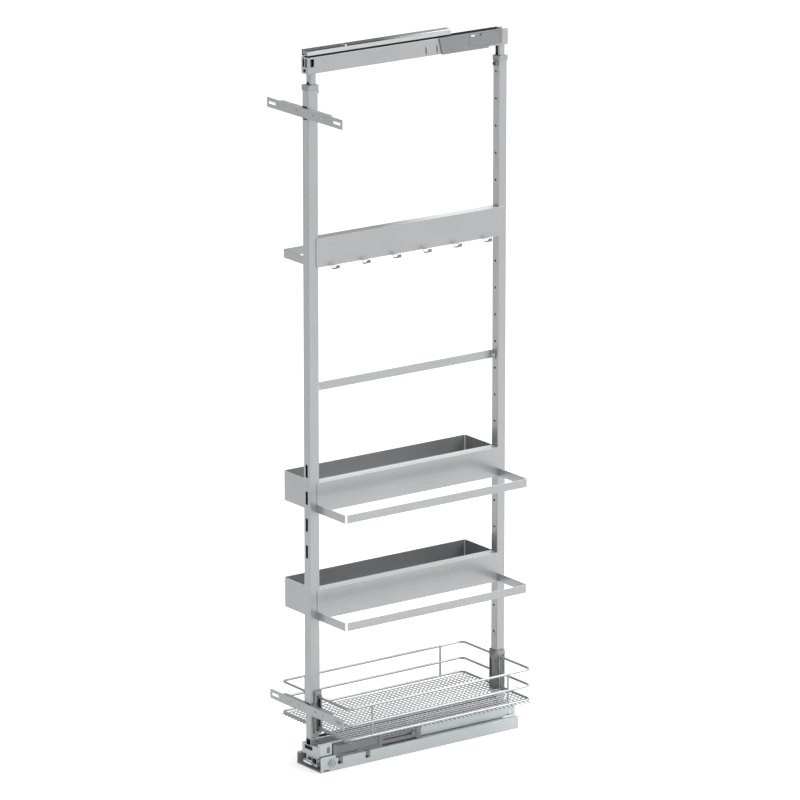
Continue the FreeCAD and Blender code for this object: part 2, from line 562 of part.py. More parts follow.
# ---- trays, hook strip and towel bar -------------------------------------------------------------
PLATE_X = (POST_HALF + SEAT_GAP, POST_HALF + SEAT_GAP + TRAY_SHEET)
TRAY_WALL_X = (-POST_HALF - SEAT_GAP - TRAY_SHEET, -POST_HALF - SEAT_GAP)
FITTING_Y = (FRONT_INNER - TRAY_LAP_FRONT, BACK_INNER + TRAY_END_LAP)
PLATE_Y = (FRONT_INNER - TRAY_LAP_FRONT, BACK_INNER + TRAY_LAP_BACK)
GAP_Y = (FRONT_INNER + SEAT_GAP, BACK_INNER - SEAT_GAP)
TAB_LENGTH = 1.2


def cover_between_posts(z0, z1, with_back):
    """Plate over the posts' near side, its top flange and end tabs between the posts."""
    plate = box(PLATE_X, PLATE_Y, (z0, z1))
    flange_x = (TRAY_WALL_X[0] if with_back else -POST_HALF, PLATE_X[1])
    flange = box(flange_x, GAP_Y, (z1 - TRAY_SHEET, z1))
    pieces = [flange]
    middle = (z0 + z1) / 2
    for y in (GAP_Y[0], GAP_Y[1] - TAB_LENGTH):
        tab = box((-POST_HALF + 2, PLATE_X[1]), (y, y + TAB_LENGTH), (middle - 12, z1))
        pieces.append(tab)
    shape = plate.fuse(pieces)
    cuts = [rod((0, y - 1, middle), HOLE_RADIUS, 4, (0, 1, 0)) for y in (GAP_Y[0], GAP_Y[1] - TAB_LENGTH)]
    return shape.cut(cuts)


def tray(z0):
    """Open sheet tray beside the posts, hung on a cover between them."""
    z1 = z0 + TRAY_HEIGHT
    x = (-TRAY_REACH, TRAY_WALL_X[1])
    walls = bent_strip((x[0], x[1] + 20), FITTING_Y, (z0, z1), TRAY_SHEET, TRAY_CORNER)
    walls = walls.cut(box((x[1], x[1] + 40), grown(FITTING_Y, 5), grown((z0, z1), 5)))
    floor = rounded_box((x[0], x[1] + 20), FITTING_Y, (z0, z0 + TRAY_SHEET), "z", TRAY_CORNER)
    floor = floor.cut(box((x[1], x[1] + 40), grown(FITTING_Y, 5), grown((z0, z0), 9)))
    near_wall = box(TRAY_WALL_X, FITTING_Y, (z0, z1))
    return walls.fuse([floor, near_wall, cover_between_posts(z0, z1, True)]).removeSplitter()


def side_rail(z0, reach, start):
    """Flat strip bent round three sides; reach is signed, start is where its arms begin."""
    thickness = BOTTLE_RAIL_THICKNESS
    far = start - 20 if reach > 0 else start + 20
    x = tuple(sorted((far, reach)))
    z = (z0, z0 + BOTTLE_RAIL_HEIGHT)
    ring = bent_strip(x, FITTING_Y, z, thickness, BOTTLE_RAIL_CORNER)
    cut_x = tuple(sorted((far - (1 if reach > 0 else -1), start)))
    return ring.cut(box(cut_x, grown(FITTING_Y, 5), grown(z, 5)))


def coat_hook(y, z0):
    """Tongue under the strip's edge: it drops, runs out and turns up to a rounded tip."""
    t = HOOK_THICKNESS
    x0 = PLATE_X[0]
    reach = PLATE_X[1] + HOOK_REACH
    span = (y - HOOK_WIDTH / 2, y + HOOK_WIDTH / 2)
    bottom = z0 - HOOK_DROP
    outer = rounded_box((x0, reach), span, (bottom, z0 + 40), "y", t + 2.0)
    inner = rounded_box((x0 + t, reach - t), span, (bottom + t, z0 + 40 - t), "y", 2.0)
    above_root = box((x0 - 1, x0 + t + 1), grown(span, 1), (z0 - SEAT_GAP, z0 + 50))
    above_tip = box((x0 + t, reach + 1), grown(span, 1), (z0 + HOOK_TIP, z0 + 50))
    tongue = outer.cut([inner, above_root, above_tip])
    tip = [e for e in tongue.Edges if abs(e.CenterOfMass.z - z0 - HOOK_TIP) < 1e-6
           and abs(e.Length - t) < 1e-6]
    return tongue.makeFillet(HOOK_WIDTH * 0.32, tip)


def hook_strip(z0):
    """Cover plate that carries the hooks."""
    return cover_between_posts(z0, z0 + HOOK_STRIP_HEIGHT, False).removeSplitter()


def towel_bar(level):
    """Flat bar between the posts, its ends bent over and screwed to them."""
    x = (-POST_HALF + 0.2, -POST_HALF + 0.2 + BAR_THICKNESS)
    z = grown((level, level), BAR_HEIGHT / 2)
    outer = rounded_box((x[0], x[0] + 40), GAP_Y, z, "z", 4.0)
    inner_y = grown(GAP_Y, -BAR_THICKNESS)
    inner = rounded_box((x[1], x[0] + 39), inner_y, grown(z, 1), "z", 1.5)
    beyond = box((x[0] + BAR_TAB, x[0] + 60), grown(GAP_Y, 1), grown(z, 2))
    holes = [rod((0, GAP_Y[0] - 1, level), HOLE_RADIUS, 5, (0, 1, 0)),
             rod((0, GAP_Y[1] - 4, level), HOLE_RADIUS, 5, (0, 1, 0))]
    return outer.cut([inner, beyond] + holes)


def fixing_screw(y, direction, z, grip):
    """Pan-head screw through a fitting's tab into a post."""
    seat = y - direction * grip
    shank = rod((0, seat, z), HOLE_RADIUS - SHAFT_GAP, grip + POST_WALL + 3, (0, direction, 0))
    head = rod((0, seat, z), 3.8, 2.0, (0, -direction, 0))
    drive = box((-2.4, 2.4), tuple(sorted((seat - direction * 1.2, seat - direction * 3.0))), (z - 0.5, z + 0.5))
    return shank.fuse(head).cut(drive).removeSplitter()


def fixing_screws():
    """All fixing screws of trays, hook strip and towel bar."""
    screws = []
    for level in FITTING_LEVELS:
        grip = SEAT_GAP + (BAR_THICKNESS if level == BAR_LEVEL else TAB_LENGTH)
        z = hole_z(level + 0.5)
        screws.append(fixing_screw(FRONT_INNER, -1, z, grip))
        screws.append(fixing_screw(BACK_INNER, 1, z, grip))
    return screws


# ---- wire basket ---------------------------------------------------------------------------------
HANGER_HALF = POST_HALF + 3.0
HANGER_SHEET = 1.5
HANGER_Z = (74.0, 166.0)
BASKET_Y = (FRONT_INNER - BASKET_FRONT_INSET, BACK_INNER + BASKET_BACK_INSET)


def basket_hanger(inner, into_frame, depth):
    """Channel that clasps a post and takes the basket's wire ends."""
    web = sorted((inner + into_frame * SEAT_GAP, inner + into_frame * (SEAT_GAP + HANGER_SHEET)))
    wing = sorted((inner + into_frame * SEAT_GAP, inner - into_frame * depth))
    shape = box((-HANGER_HALF, HANGER_HALF), tuple(web), HANGER_Z)
    shape = shape.fuse([box((HANGER_HALF - HANGER_SHEET, HANGER_HALF), tuple(wing), HANGER_Z),
                        box((-HANGER_HALF, HANGER_SHEET - HANGER_HALF), tuple(wing), HANGER_Z)])
    slot_z = (HANGER_Z[0] + 33, HANGER_Z[1] - 18)
    slot = box((-HANGER_HALF + 2.2, -HANGER_HALF + 7.5), grown(tuple(web), 1), slot_z)
    side = sorted((inner - into_frame * (depth - 9), inner - into_frame * (depth - 3)))
    windows = box(grown((-HANGER_HALF, HANGER_HALF), 1), tuple(side), (HANGER_Z[0] + 8, HANGER_Z[1] - 10))
    return shape.cut([slot, windows]).removeSplitter()


def basket_ring(z):
    """Two C-shaped wires round the basket that stop at the hangers."""
    x0 = HANGER_HALF + RUN_GAP
    x1 = BASKET_HALF_WIDTH
    y0, y1 = BASKET_Y
    r = BASKET_CORNER
    k = r * (1 - 0.5 ** 0.5)
    path = Part.Wire([
        Part.LineSegment(Vector(x0, y0, z), Vector(x1 - r, y0, z)).toShape(),
        Part.Arc(Vector(x1 - r, y0, z), Vector(x1 - k, y0 + k, z), Vector(x1, y0 + r, z)).toShape(),
        Part.LineSegment(Vector(x1, y0 + r, z), Vector(x1, y1 - r, z)).toShape(),
        Part.Arc(Vector(x1, y1 - r, z), Vector(x1 - k, y1 - k, z), Vector(x1 - r, y1, z)).toShape(),
        Part.LineSegment(Vector(x1 - r, y1, z), Vector(x0, y1, z)).toShape()])
    section = Part.Wire(Part.makeCircle(BASKET_WIRE, Vector(x0, y0, z), Vector(1, 0, 0)))
    half = path.makePipeShell([section], True, True)
    return [half, mirrored(half)]


def basket_side(sign):
    """One side of the basket: three wires joined by two uprights."""
    index = 0 if sign > 0 else 1
    wires = [basket_ring(z)[index] for z in (BASKET_FLOOR_Z, BASKET_MID_Z, BASKET_RIM_Z)]
    x = sign * BASKET_HALF_WIDTH
    for y in (BASKET_Y[0] + UPRIGHT_INSET, BASKET_Y[1] - UPRIGHT_INSET):
        height = BASKET_RIM_Z - BASKET_FLOOR_Z
        wires.append(rod((x, y, BASKET_FLOOR_Z), BASKET_UPRIGHT, height, (0, 0, 1)))
    return wires[0].fuse(wires[1:])


def basket_floor():
    """Floor mesh under the lowest wires, a thin grid of square openings."""
    half = BASKET_HALF_WIDTH
    y = BASKET_Y
    top = BASKET_FLOOR_Z - BASKET_WIRE - SEAT_GAP
    outline = Part.makePolygon([Vector(-half, y[0], 0), Vector(half, y[0], 0), Vector(half, y[1], 0),
                                Vector(-half, y[1], 0), Vector(-half, y[0], 0)])
    opening = MESH_PITCH - MESH_WIRE
    columns = int((2 * half - MESH_WIRE) / MESH_PITCH)
    rows = int((y[1] - y[0] - MESH_WIRE) / MESH_PITCH)
    x_start = -columns * MESH_PITCH / 2 + MESH_WIRE / 2
    y_start = (y[0] + y[1]) / 2 - rows * MESH_PITCH / 2 + MESH_WIRE / 2
    wires = [outline]
    for column in range(columns):
        for row in range(rows):
            x0 = x_start + column * MESH_PITCH
            y0 = y_start + row * MESH_PITCH
            wires.append(Part.makePolygon([Vector(x0, y0, 0), Vector(x0, y0 + opening, 0),
                                           Vector(x0 + opening, y0 + opening, 0),
                                           Vector(x0 + opening, y0, 0), Vector(x0, y0, 0)]))
    sheet = Part.Face(wires).extrude(Vector(0, 0, MESH_WIRE))
    sheet.translate(Vector(0, 0, top - MESH_WIRE))
    for inner, sign in ((FRONT_INNER, -1), (BACK_INNER, 1)):
        depth = sorted((inner - sign * (HANGER_SHEET + 2 * SEAT_GAP), inner + sign * 40))
        sheet = sheet.cut(box(grown((-HANGER_HALF, HANGER_HALF), RUN_GAP), tuple(depth), (0, BASKET_RIM_Z)))
    return max(sheet.Solids, key=lambda solid: solid.Volume)


# ---- height-adjustable head ----------------------------------------------------------------------
BEAM_CAP = 1.5
BEAM_Y = (BEAM_FRONT + BEAM_CAP, FRAME_BACK - 13.0)
END_Y = (BEAM_Y[1] + SEAT_GAP, FRAME_BACK + 1.5)
SLIDE_HALF = 6.5              # top slide's lower flange, inside the beam
SLIDE_LOWER_Z = (BEAM_Z + 15.0, BEAM_Z + 25.0)


def inner_tube(y, into_frame):
    """Telescoping tube inside a post, slotted for the clamp screw."""
    z = (BEAM_Z - HEAD_GAP - INNER_TUBE_LENGTH, BEAM_Z - SEAT_GAP)
    tube = tube_z(grown((0, 0), INNER_TUBE_WIDTH / 2), y, z, INNER_TUBE_WALL, 1.5)
    face = y[1] if into_frame > 0 else y[0]
    slot_y = grown((face, face), INNER_TUBE_WALL + 0.3)
    return tube.cut(box((-2.4, 2.4), slot_y, (z[0] + 12, z[1] - 3)))


def top_beam():
    """Lipped channel that runs on the top guide, with a side window at its front."""
    beam = lipped_channel(BEAM_HALF, BEAM_Y, (BEAM_Z, BEAM_TOP), BEAM_SHEET, BEAM_SLOT, True)
    side = (BEAM_HALF - BEAM_SHEET - 1, BEAM_HALF + 1)
    window = box(side, (BEAM_FRONT + 6, BEAM_FRONT + 15), (BEAM_TOP - 20, BEAM_TOP - 4))
    marks = []
    for y in (BEAM_Y[0] + 286.5, BEAM_Y[0] + 313.5):
        marks.append(box((BEAM_HALF - 0.5, BEAM_HALF + 1), (y, y + 1.6), (BEAM_Z + 3, BEAM_Z + 16)))
    return beam.cut([window] + marks)


def beam_front_cap():
    """End plate of the beam with two tall slots and a small one."""
    cap = rounded_box((-BEAM_HALF, BEAM_HALF), (BEAM_FRONT, BEAM_FRONT + BEAM_CAP - SEAT_GAP),
                      (BEAM_Z, BEAM_TOP), "y", 1.3)
    through = (BEAM_FRONT - 1, BEAM_FRONT + BEAM_CAP + 1)
    slots = [box((-7.2, -2.2), through, (BEAM_TOP - 19, BEAM_TOP - 3)),
             box((2.2, 7.2), through, (BEAM_TOP - 19, BEAM_TOP - 3)),
             box((-4.5, 4.5), through, (BEAM_Z + 6, BEAM_Z + 9))]
    return cap.cut(slots)


def beam_end_bracket():
    """Rounded bracket at the beam's rear end, open in the middle for the top slide."""
    outer = box((-BEAM_HALF, BEAM_HALF), END_Y, (BEAM_Z, BEAM_TOP - 0.5))
    corner = [e for e in outer.Edges if abs(e.CenterOfMass.z - BEAM_TOP + 0.5) < 1e-6
              and abs(e.CenterOfMass.y - END_Y[1]) < 1e-6]
    outer = outer.makeFillet(5.0, corner)
    pocket_y = (END_Y[0] - 1, END_Y[1] - 2.0)
    pocket = box(grown((-BEAM_HALF, BEAM_HALF), -1.8), pocket_y, (BEAM_Z + 1.8, BEAM_TOP - 7.0))
    slide_way = box(grown((-SLIDE_HALF, SLIDE_HALF), 1.0), grown(END_Y, 1), (SLIDE_LOWER_Z[0] - 1.0, BEAM_TOP))
    return outer.cut([pocket, slide_way])


COVER_X = (BEAM_HALF + SEAT_GAP, BEAM_HALF + 2.6)
COVER_FRONT = BEAM_Y[0] + 318.0
WINDOW_Y = (COVER_FRONT + 78.0, COVER_FRONT + 104.0)
WINDOW_Z = (BEAM_TOP - 7.6, BEAM_TOP - 3.4)


def top_damper_cover():
    """Side cover of the upper soft-close unit: slanted front, stepped lower edge, a window."""
    x = COVER_X[0]
    end = BEAM_Y[1] - 1.5
    outline = [(COVER_FRONT + 8, BEAM_Z - 1), (COVER_FRONT + 122, BEAM_Z - 1), (COVER_FRONT + 126, BEAM_Z + 4.5),
               (end, BEAM_Z + 4.5), (end, BEAM_TOP - 0.5), (COVER_FRONT, BEAM_TOP - 0.5)]
    points = [Vector(x, y, z) for y, z in outline + outline[:1]]
    plate = Part.Face(Part.makePolygon(points)).extrude(Vector(COVER_X[1] - x, 0, 0))
    window = box(grown(COVER_X, 1), WINDOW_Y, WINDOW_Z)
    groove_y = (WINDOW_Y[0] - 4, COVER_FRONT + 150)
    groove_z = (BEAM_Z + 6, WINDOW_Z[1] + 1.5)
    groove_x = (COVER_X[1] - 0.5, COVER_X[1] + 1)
    outer = rounded_box(groove_x, groove_y, groove_z, "x", 3.0)
    inner = rounded_box(groove_x, grown(groove_y, -1.0), grown(groove_z, -1.0), "x", 2.2)
    return plate.cut([window, outer.cut(inner)])


def top_catch():
    """Catch of the upper soft-close unit, seen through the cover's window."""
    z = grown(WINDOW_Z, -RUN_GAP)
    y = (WINDOW_Y[0] + RUN_GAP, WINDOW_Y[0] + 9.0)
    return box((COVER_X[0] + RUN_GAP, COVER_X[1] + 0.6), y, z)


# ---- top guide -----------------------------------------------------------------------------------
TOP_MID_Y = (BEAM_FRONT + 6.0, BEAM_FRONT + 346.0)
NECK_HALF = BEAM_SLOT / 2 - 1.5
SLIDE_UPPER_Z = (TOP_RAIL_Z + TOP_RAIL_SHEET + 0.8, TOP_RAIL_Z + TOP_RAIL_SHEET + 3.8)
GUIDE_LOWER_RADIUS = BEAM_HALF - BEAM_SHEET - RUN_GAP
GUIDE_UPPER_RADIUS = TOP_RAIL_WIDTH / 2 - TOP_RAIL_SHEET - RUN_GAP
GUIDE_PIN = 2.0
GUIDES = {
    "lower_front": (TOP_MID_Y[0] + 16, GUIDE_LOWER_RADIUS, SLIDE_LOWER_Z[0] - 9.0, 8.0),
    "lower_rear": (TOP_MID_Y[0] + 206, GUIDE_LOWER_RADIUS, SLIDE_LOWER_Z[0] - 9.0, 8.0),
    "upper_front": (TOP_MID_Y[1] - 115, GUIDE_UPPER_RADIUS, SLIDE_UPPER_Z[1] + 0.6, 4.0),
    "upper_rear": (TOP_MID_Y[1] - 16, GUIDE_UPPER_RADIUS, SLIDE_UPPER_Z[1] + 0.6, 4.0),
}


def top_mid_rail():
    """I-shaped slide that links the beam's channel and the cabinet rail's channel."""
    lower = box((-SLIDE_HALF, SLIDE_HALF), TOP_MID_Y, SLIDE_LOWER_Z)
    neck = box((-NECK_HALF, NECK_HALF), TOP_MID_Y, (SLIDE_LOWER_Z[0], SLIDE_UPPER_Z[1]))
    upper = box((-6.0, 6.0), TOP_MID_Y, SLIDE_UPPER_Z)
    return lower.fuse([neck, upper]).removeSplitter()


def guide_pin(name):
    """Pin that a guide roller turns on, with a head beyond the roller."""
    y, _, z, height = GUIDES[name]
    if name.startswith("lower"):
        pin = rod((0, y, z - 0.4), GUIDE_PIN, SLIDE_LOWER_Z[0] - z + 0.4, (0, 0, 1))
        return pin.fuse(rod((0, y, z - 1.4), GUIDE_PIN + 1.2, 1.2, (0, 0, 1))).removeSplitter()
    pin = rod((0, y, SLIDE_UPPER_Z[1]), GUIDE_PIN, z + height + 0.2 - SLIDE_UPPER_Z[1], (0, 0, 1))
    return pin.fuse(rod((0, y, z + height + 0.2), GUIDE_PIN + 1.0, 0.6, (0, 0, 1))).removeSplitter()


def guide_roller(name):
    """Plastic roller on an upright pin, running between a channel's side walls."""
    y, radius, z, height = GUIDES[name]
    wheel = rod((0, y, z), radius, height, (0, 0, 1))
    wheel = wheel.makeChamfer(0.4, [e for e in wheel.Edges if e.Closed])
    return wheel.cut(rod((0, y, z - 1), GUIDE_PIN + SHAFT_GAP, height + 2, (0, 0, 1)))


def cabinet_rail():
    """Fixed top rail, an upside-down lipped channel screwed under the cabinet's top panel."""
    y = (BEAM_FRONT, BEAM_FRONT + TOP_RAIL_LENGTH)
    z = (TOP_RAIL_Z, TOP_RAIL_TOP)
    rail = lipped_channel(TOP_RAIL_WIDTH / 2, y, z, TOP_RAIL_SHEET, BEAM_SLOT, False)
    middle = (y[0] + y[1]) / 2
    cuts = []
    for step in (-TOP_SCREW_SPACING / 2, TOP_SCREW_SPACING / 2):
        cuts.append(rod((0, middle + step, z[1] - 3), TOP_SCREW_RADIUS, 6, (0, 0, 1)))
    cuts.append(box((-6, -3.5), (y[1] - 14, y[1] - 6), (z[1] - 3, z[1] + 1)))
    cuts.append(box((3.5, 6), (y[1] - 14, y[1] - 6), (z[1] - 3, z[1] + 1)))
    return rail.cut(cuts)


# ---- build ---------------------------------------------------------------------------------------
def build_runner():
    """Everything on the cabinet floor, and the middle rail with its rollers."""
    save("floor_rail", floor_rail())
    save("damper_housing", damper_housing())
    save("damper_track", damper_track())
    save("damper_catch", damper_catch())
    save("adjuster_disc", adjuster_disc())
    save("adjuster_rivet", adjuster_rivet())
    save("mid_rail", mid_rail())
    for place, y in LOWER_YS.items():
        save("lower_rollers_" + place, *roller_pair(LOWER_X, y, LOWER_Z, LOWER_RADIUS))
        save("lower_axle_" + place, roller_axle(LOWER_X, y, LOWER_Z))
    for place, y in UPPER_YS.items():
        save("upper_rollers_" + place, *roller_pair(UPPER_X, y, UPPER_Z, UPPER_RADIUS))
        save("upper_axle_" + place, roller_axle(UPPER_X, y, UPPER_Z))


def build_frame():
    """Carriage, posts, collars and door brackets."""
    save("carriage", carriage())
    save("front_block", front_block())
    save("bottom_tube", bottom_tube())
    save("foot_post", foot_post())
    save("front_post", front_post())
    save("back_post", back_post())
    save("front_collar", collar((FRAME_FRONT, FRONT_INNER), FRONT_TUBE_Y, FRONT_INNER, 1))
    save("back_collar", collar((BACK_INNER, FRAME_BACK), BACK_TUBE_Y, BACK_INNER, -1))
    save("clamp_screws", clamp_screw(FRONT_INNER, 1), clamp_screw(BACK_INNER, -1))
    rivets = []
    for name, level in zip(("lower", "upper"), BRACKET_LEVELS):
        save(name + "_door_bracket", door_bracket(level))
        save(name + "_bracket_clamp", bracket_clamp(level))
        for sign in (-1, 1):
            rivets.append(bracket_rivet(level, sign * BRACKET_RIVET_SPACING / 2))
    save("bracket_rivets", *rivets)


def build_fittings():
    """Trays, rails, hooks, towel bar, basket and their fixings."""
    for name, level in zip(("lower", "upper"), TRAY_LEVELS):
        z0 = hole_z(level + 0.5) - TRAY_HEIGHT / 2
        save(name + "_tray", tray(z0))
        save(name + "_bottle_rail", side_rail(z0, BOTTLE_RAIL_REACH, PLATE_X[1] + SEAT_GAP))
    strip_z = hole_z(HOOK_LEVEL + 0.5) - HOOK_STRIP_HEIGHT / 2
    save("hook_strip", hook_strip(strip_z))
    save("hook_strip_rail", side_rail(strip_z - 2.0, -TRAY_REACH, -POST_HALF - SEAT_GAP))
    middle = (FITTING_Y[0] + FITTING_Y[1]) / 2 + HOOK_ROW_SHIFT
    first = middle - HOOK_PITCH * (HOOK_COUNT - 1) / 2
    save("coat_hooks", *[coat_hook(first + HOOK_PITCH * index, strip_z) for index in range(HOOK_COUNT)])
    save("towel_bar", towel_bar(hole_z(BAR_LEVEL + 0.5)))
    save("fixing_screws", *fixing_screws())
    save("front_hanger", basket_hanger(FRONT_INNER, 1, FRONT_POST_DEPTH - CLAMP_DEPTH - 2))
    save("back_hanger", basket_hanger(BACK_INNER, -1, BACK_POST_DEPTH - 1))
    save("basket_side_left", basket_side(-1))
    save("basket_side_right", basket_side(1))
    save("basket_floor", basket_floor())


def build_head():
    """Height-adjustable head and the top guide."""
    save("front_inner_tube", inner_tube(FRONT_TUBE_Y, 1))
    save("back_inner_tube", inner_tube(BACK_TUBE_Y, -1))
    save("top_beam", top_beam())
    save("beam_front_cap", beam_front_cap())
    save("beam_end_bracket", beam_end_bracket())
    save("top_damper_cover", top_damper_cover())
    save("top_catch", top_catch())
    save("top_mid_rail", top_mid_rail())
    save("guide_pins", *[guide_pin(name) for name in GUIDES])
    for name in GUIDES:
        save("guide_roller_" + name, guide_roller(name))
    save("cabinet_rail", cabinet_rail())


os.makedirs("parts", exist_ok=True)
build_runner()
build_frame()
build_fittings()
build_head()
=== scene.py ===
"""Looks of a pull-out pantry frame: finishes for every piece, formed sheet, wires, hooks, stage and camera.

Lengths are metres in the frame's own axes: X across the cabinet, -Y towards the door, +Z up.
"""
import json
import logging
import math
from dataclasses import dataclass
from enum import Enum
from typing import Iterable, Sequence

import bmesh
import bpy
from mathutils import Matrix, Vector

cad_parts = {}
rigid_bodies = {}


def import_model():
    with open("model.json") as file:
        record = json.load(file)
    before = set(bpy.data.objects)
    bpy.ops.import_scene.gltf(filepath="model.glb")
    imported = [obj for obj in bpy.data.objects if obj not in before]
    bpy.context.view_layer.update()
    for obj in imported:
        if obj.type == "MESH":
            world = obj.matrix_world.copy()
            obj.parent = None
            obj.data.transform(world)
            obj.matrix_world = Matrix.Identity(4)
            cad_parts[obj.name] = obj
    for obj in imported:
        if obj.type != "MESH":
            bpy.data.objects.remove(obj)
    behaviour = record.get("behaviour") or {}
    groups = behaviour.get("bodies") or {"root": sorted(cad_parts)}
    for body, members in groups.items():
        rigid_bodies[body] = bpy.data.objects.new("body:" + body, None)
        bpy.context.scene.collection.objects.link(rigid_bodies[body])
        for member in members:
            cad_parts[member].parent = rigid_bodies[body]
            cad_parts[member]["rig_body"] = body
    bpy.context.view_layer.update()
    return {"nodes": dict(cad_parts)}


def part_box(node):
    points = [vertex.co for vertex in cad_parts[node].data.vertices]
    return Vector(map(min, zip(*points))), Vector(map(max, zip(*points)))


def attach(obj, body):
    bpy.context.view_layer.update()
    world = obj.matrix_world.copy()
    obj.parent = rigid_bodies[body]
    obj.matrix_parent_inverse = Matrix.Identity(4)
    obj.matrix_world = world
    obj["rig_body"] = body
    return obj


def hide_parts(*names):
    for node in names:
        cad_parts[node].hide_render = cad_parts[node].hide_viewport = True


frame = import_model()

log = logging.getLogger("pantry_frame")
MM = 0.001
Pair = tuple[float, float]
Colour = tuple[float, float, float]


# ---- shader graph ---------------------------------------------------------------------------------
class Value:
    """A number socket that Python's arithmetic extends with Math nodes."""

    def __init__(self, graph: "Graph", socket: bpy.types.NodeSocket) -> None:
        """Keep the graph and the socket."""
        self.graph = graph
        self.socket = socket

    def _math(self, operation: str, *values: "Value | float", clamp: bool = False) -> "Value":
        """Add one Math node.

        Args:
            operation: the node's operation.
            values: its inputs, in order.
            clamp: whether the result stays between 0 and 1.

        Returns:
            The node's result.
        """
        settings = {"operation": operation, "use_clamp": clamp}
        return self.graph.node("ShaderNodeMath", settings, dict(enumerate(values))).value(0)

    def __add__(self, other: "Value | float") -> "Value":
        """Sum."""
        return self._math("ADD", self, other)

    __radd__ = __add__

    def __sub__(self, other: "Value | float") -> "Value":
        """Difference."""
        return self._math("SUBTRACT", self, other)

    def __rsub__(self, other: float) -> "Value":
        """Reflected difference."""
        return self._math("SUBTRACT", other, self)

    def __mul__(self, other: "Value | float") -> "Value":
        """Product."""
        return self._math("MULTIPLY", self, other)

    __rmul__ = __mul__

    def __truediv__(self, other: "Value | float") -> "Value":
        """Quotient."""
        return self._math("DIVIDE", self, other)

    def clamped(self) -> "Value":
        """The value held between 0 and 1."""
        return self._math("ADD", self, 0.0, clamp=True)

    def maximum(self, other: "Value | float") -> "Value":
        """Larger of two."""
        return self._math("MAXIMUM", self, other)

    def above(self, edge: float, soft: float) -> "Value":
        """Mask that rises from 0 to 1 across an edge.

        Args:
            edge: where the mask is one half.
            soft: width of the rise.

        Returns:
            The mask.
        """
        return ((self - (edge - soft / 2)) / soft).clamped()

    def below(self, edge: float, soft: float) -> "Value":
        """Mask that falls from 1 to 0 across an edge."""
        return 1.0 - self.above(edge, soft)

    def within(self, low: float, high: float, soft: float) -> "Value":
        """Mask that is 1 between two edges."""
        return self.above(low, soft) * self.below(high, soft)


class Made:
    """A node that has been added, with short ways to its outputs."""

    def __init__(self, graph: "Graph", node: bpy.types.Node) -> None:
        """Keep the graph and the node."""
        self.graph = graph
        self.node = node

    def value(self, output: int | str) -> Value:
        """One output as a number."""
        return Value(self.graph, self.node.outputs[output])

    def socket(self, output: int | str) -> bpy.types.NodeSocket:
        """One output as it is, for colours and vectors."""
        return self.node.outputs[output]


Link = Value | bpy.types.NodeSocket | float | Sequence[float]


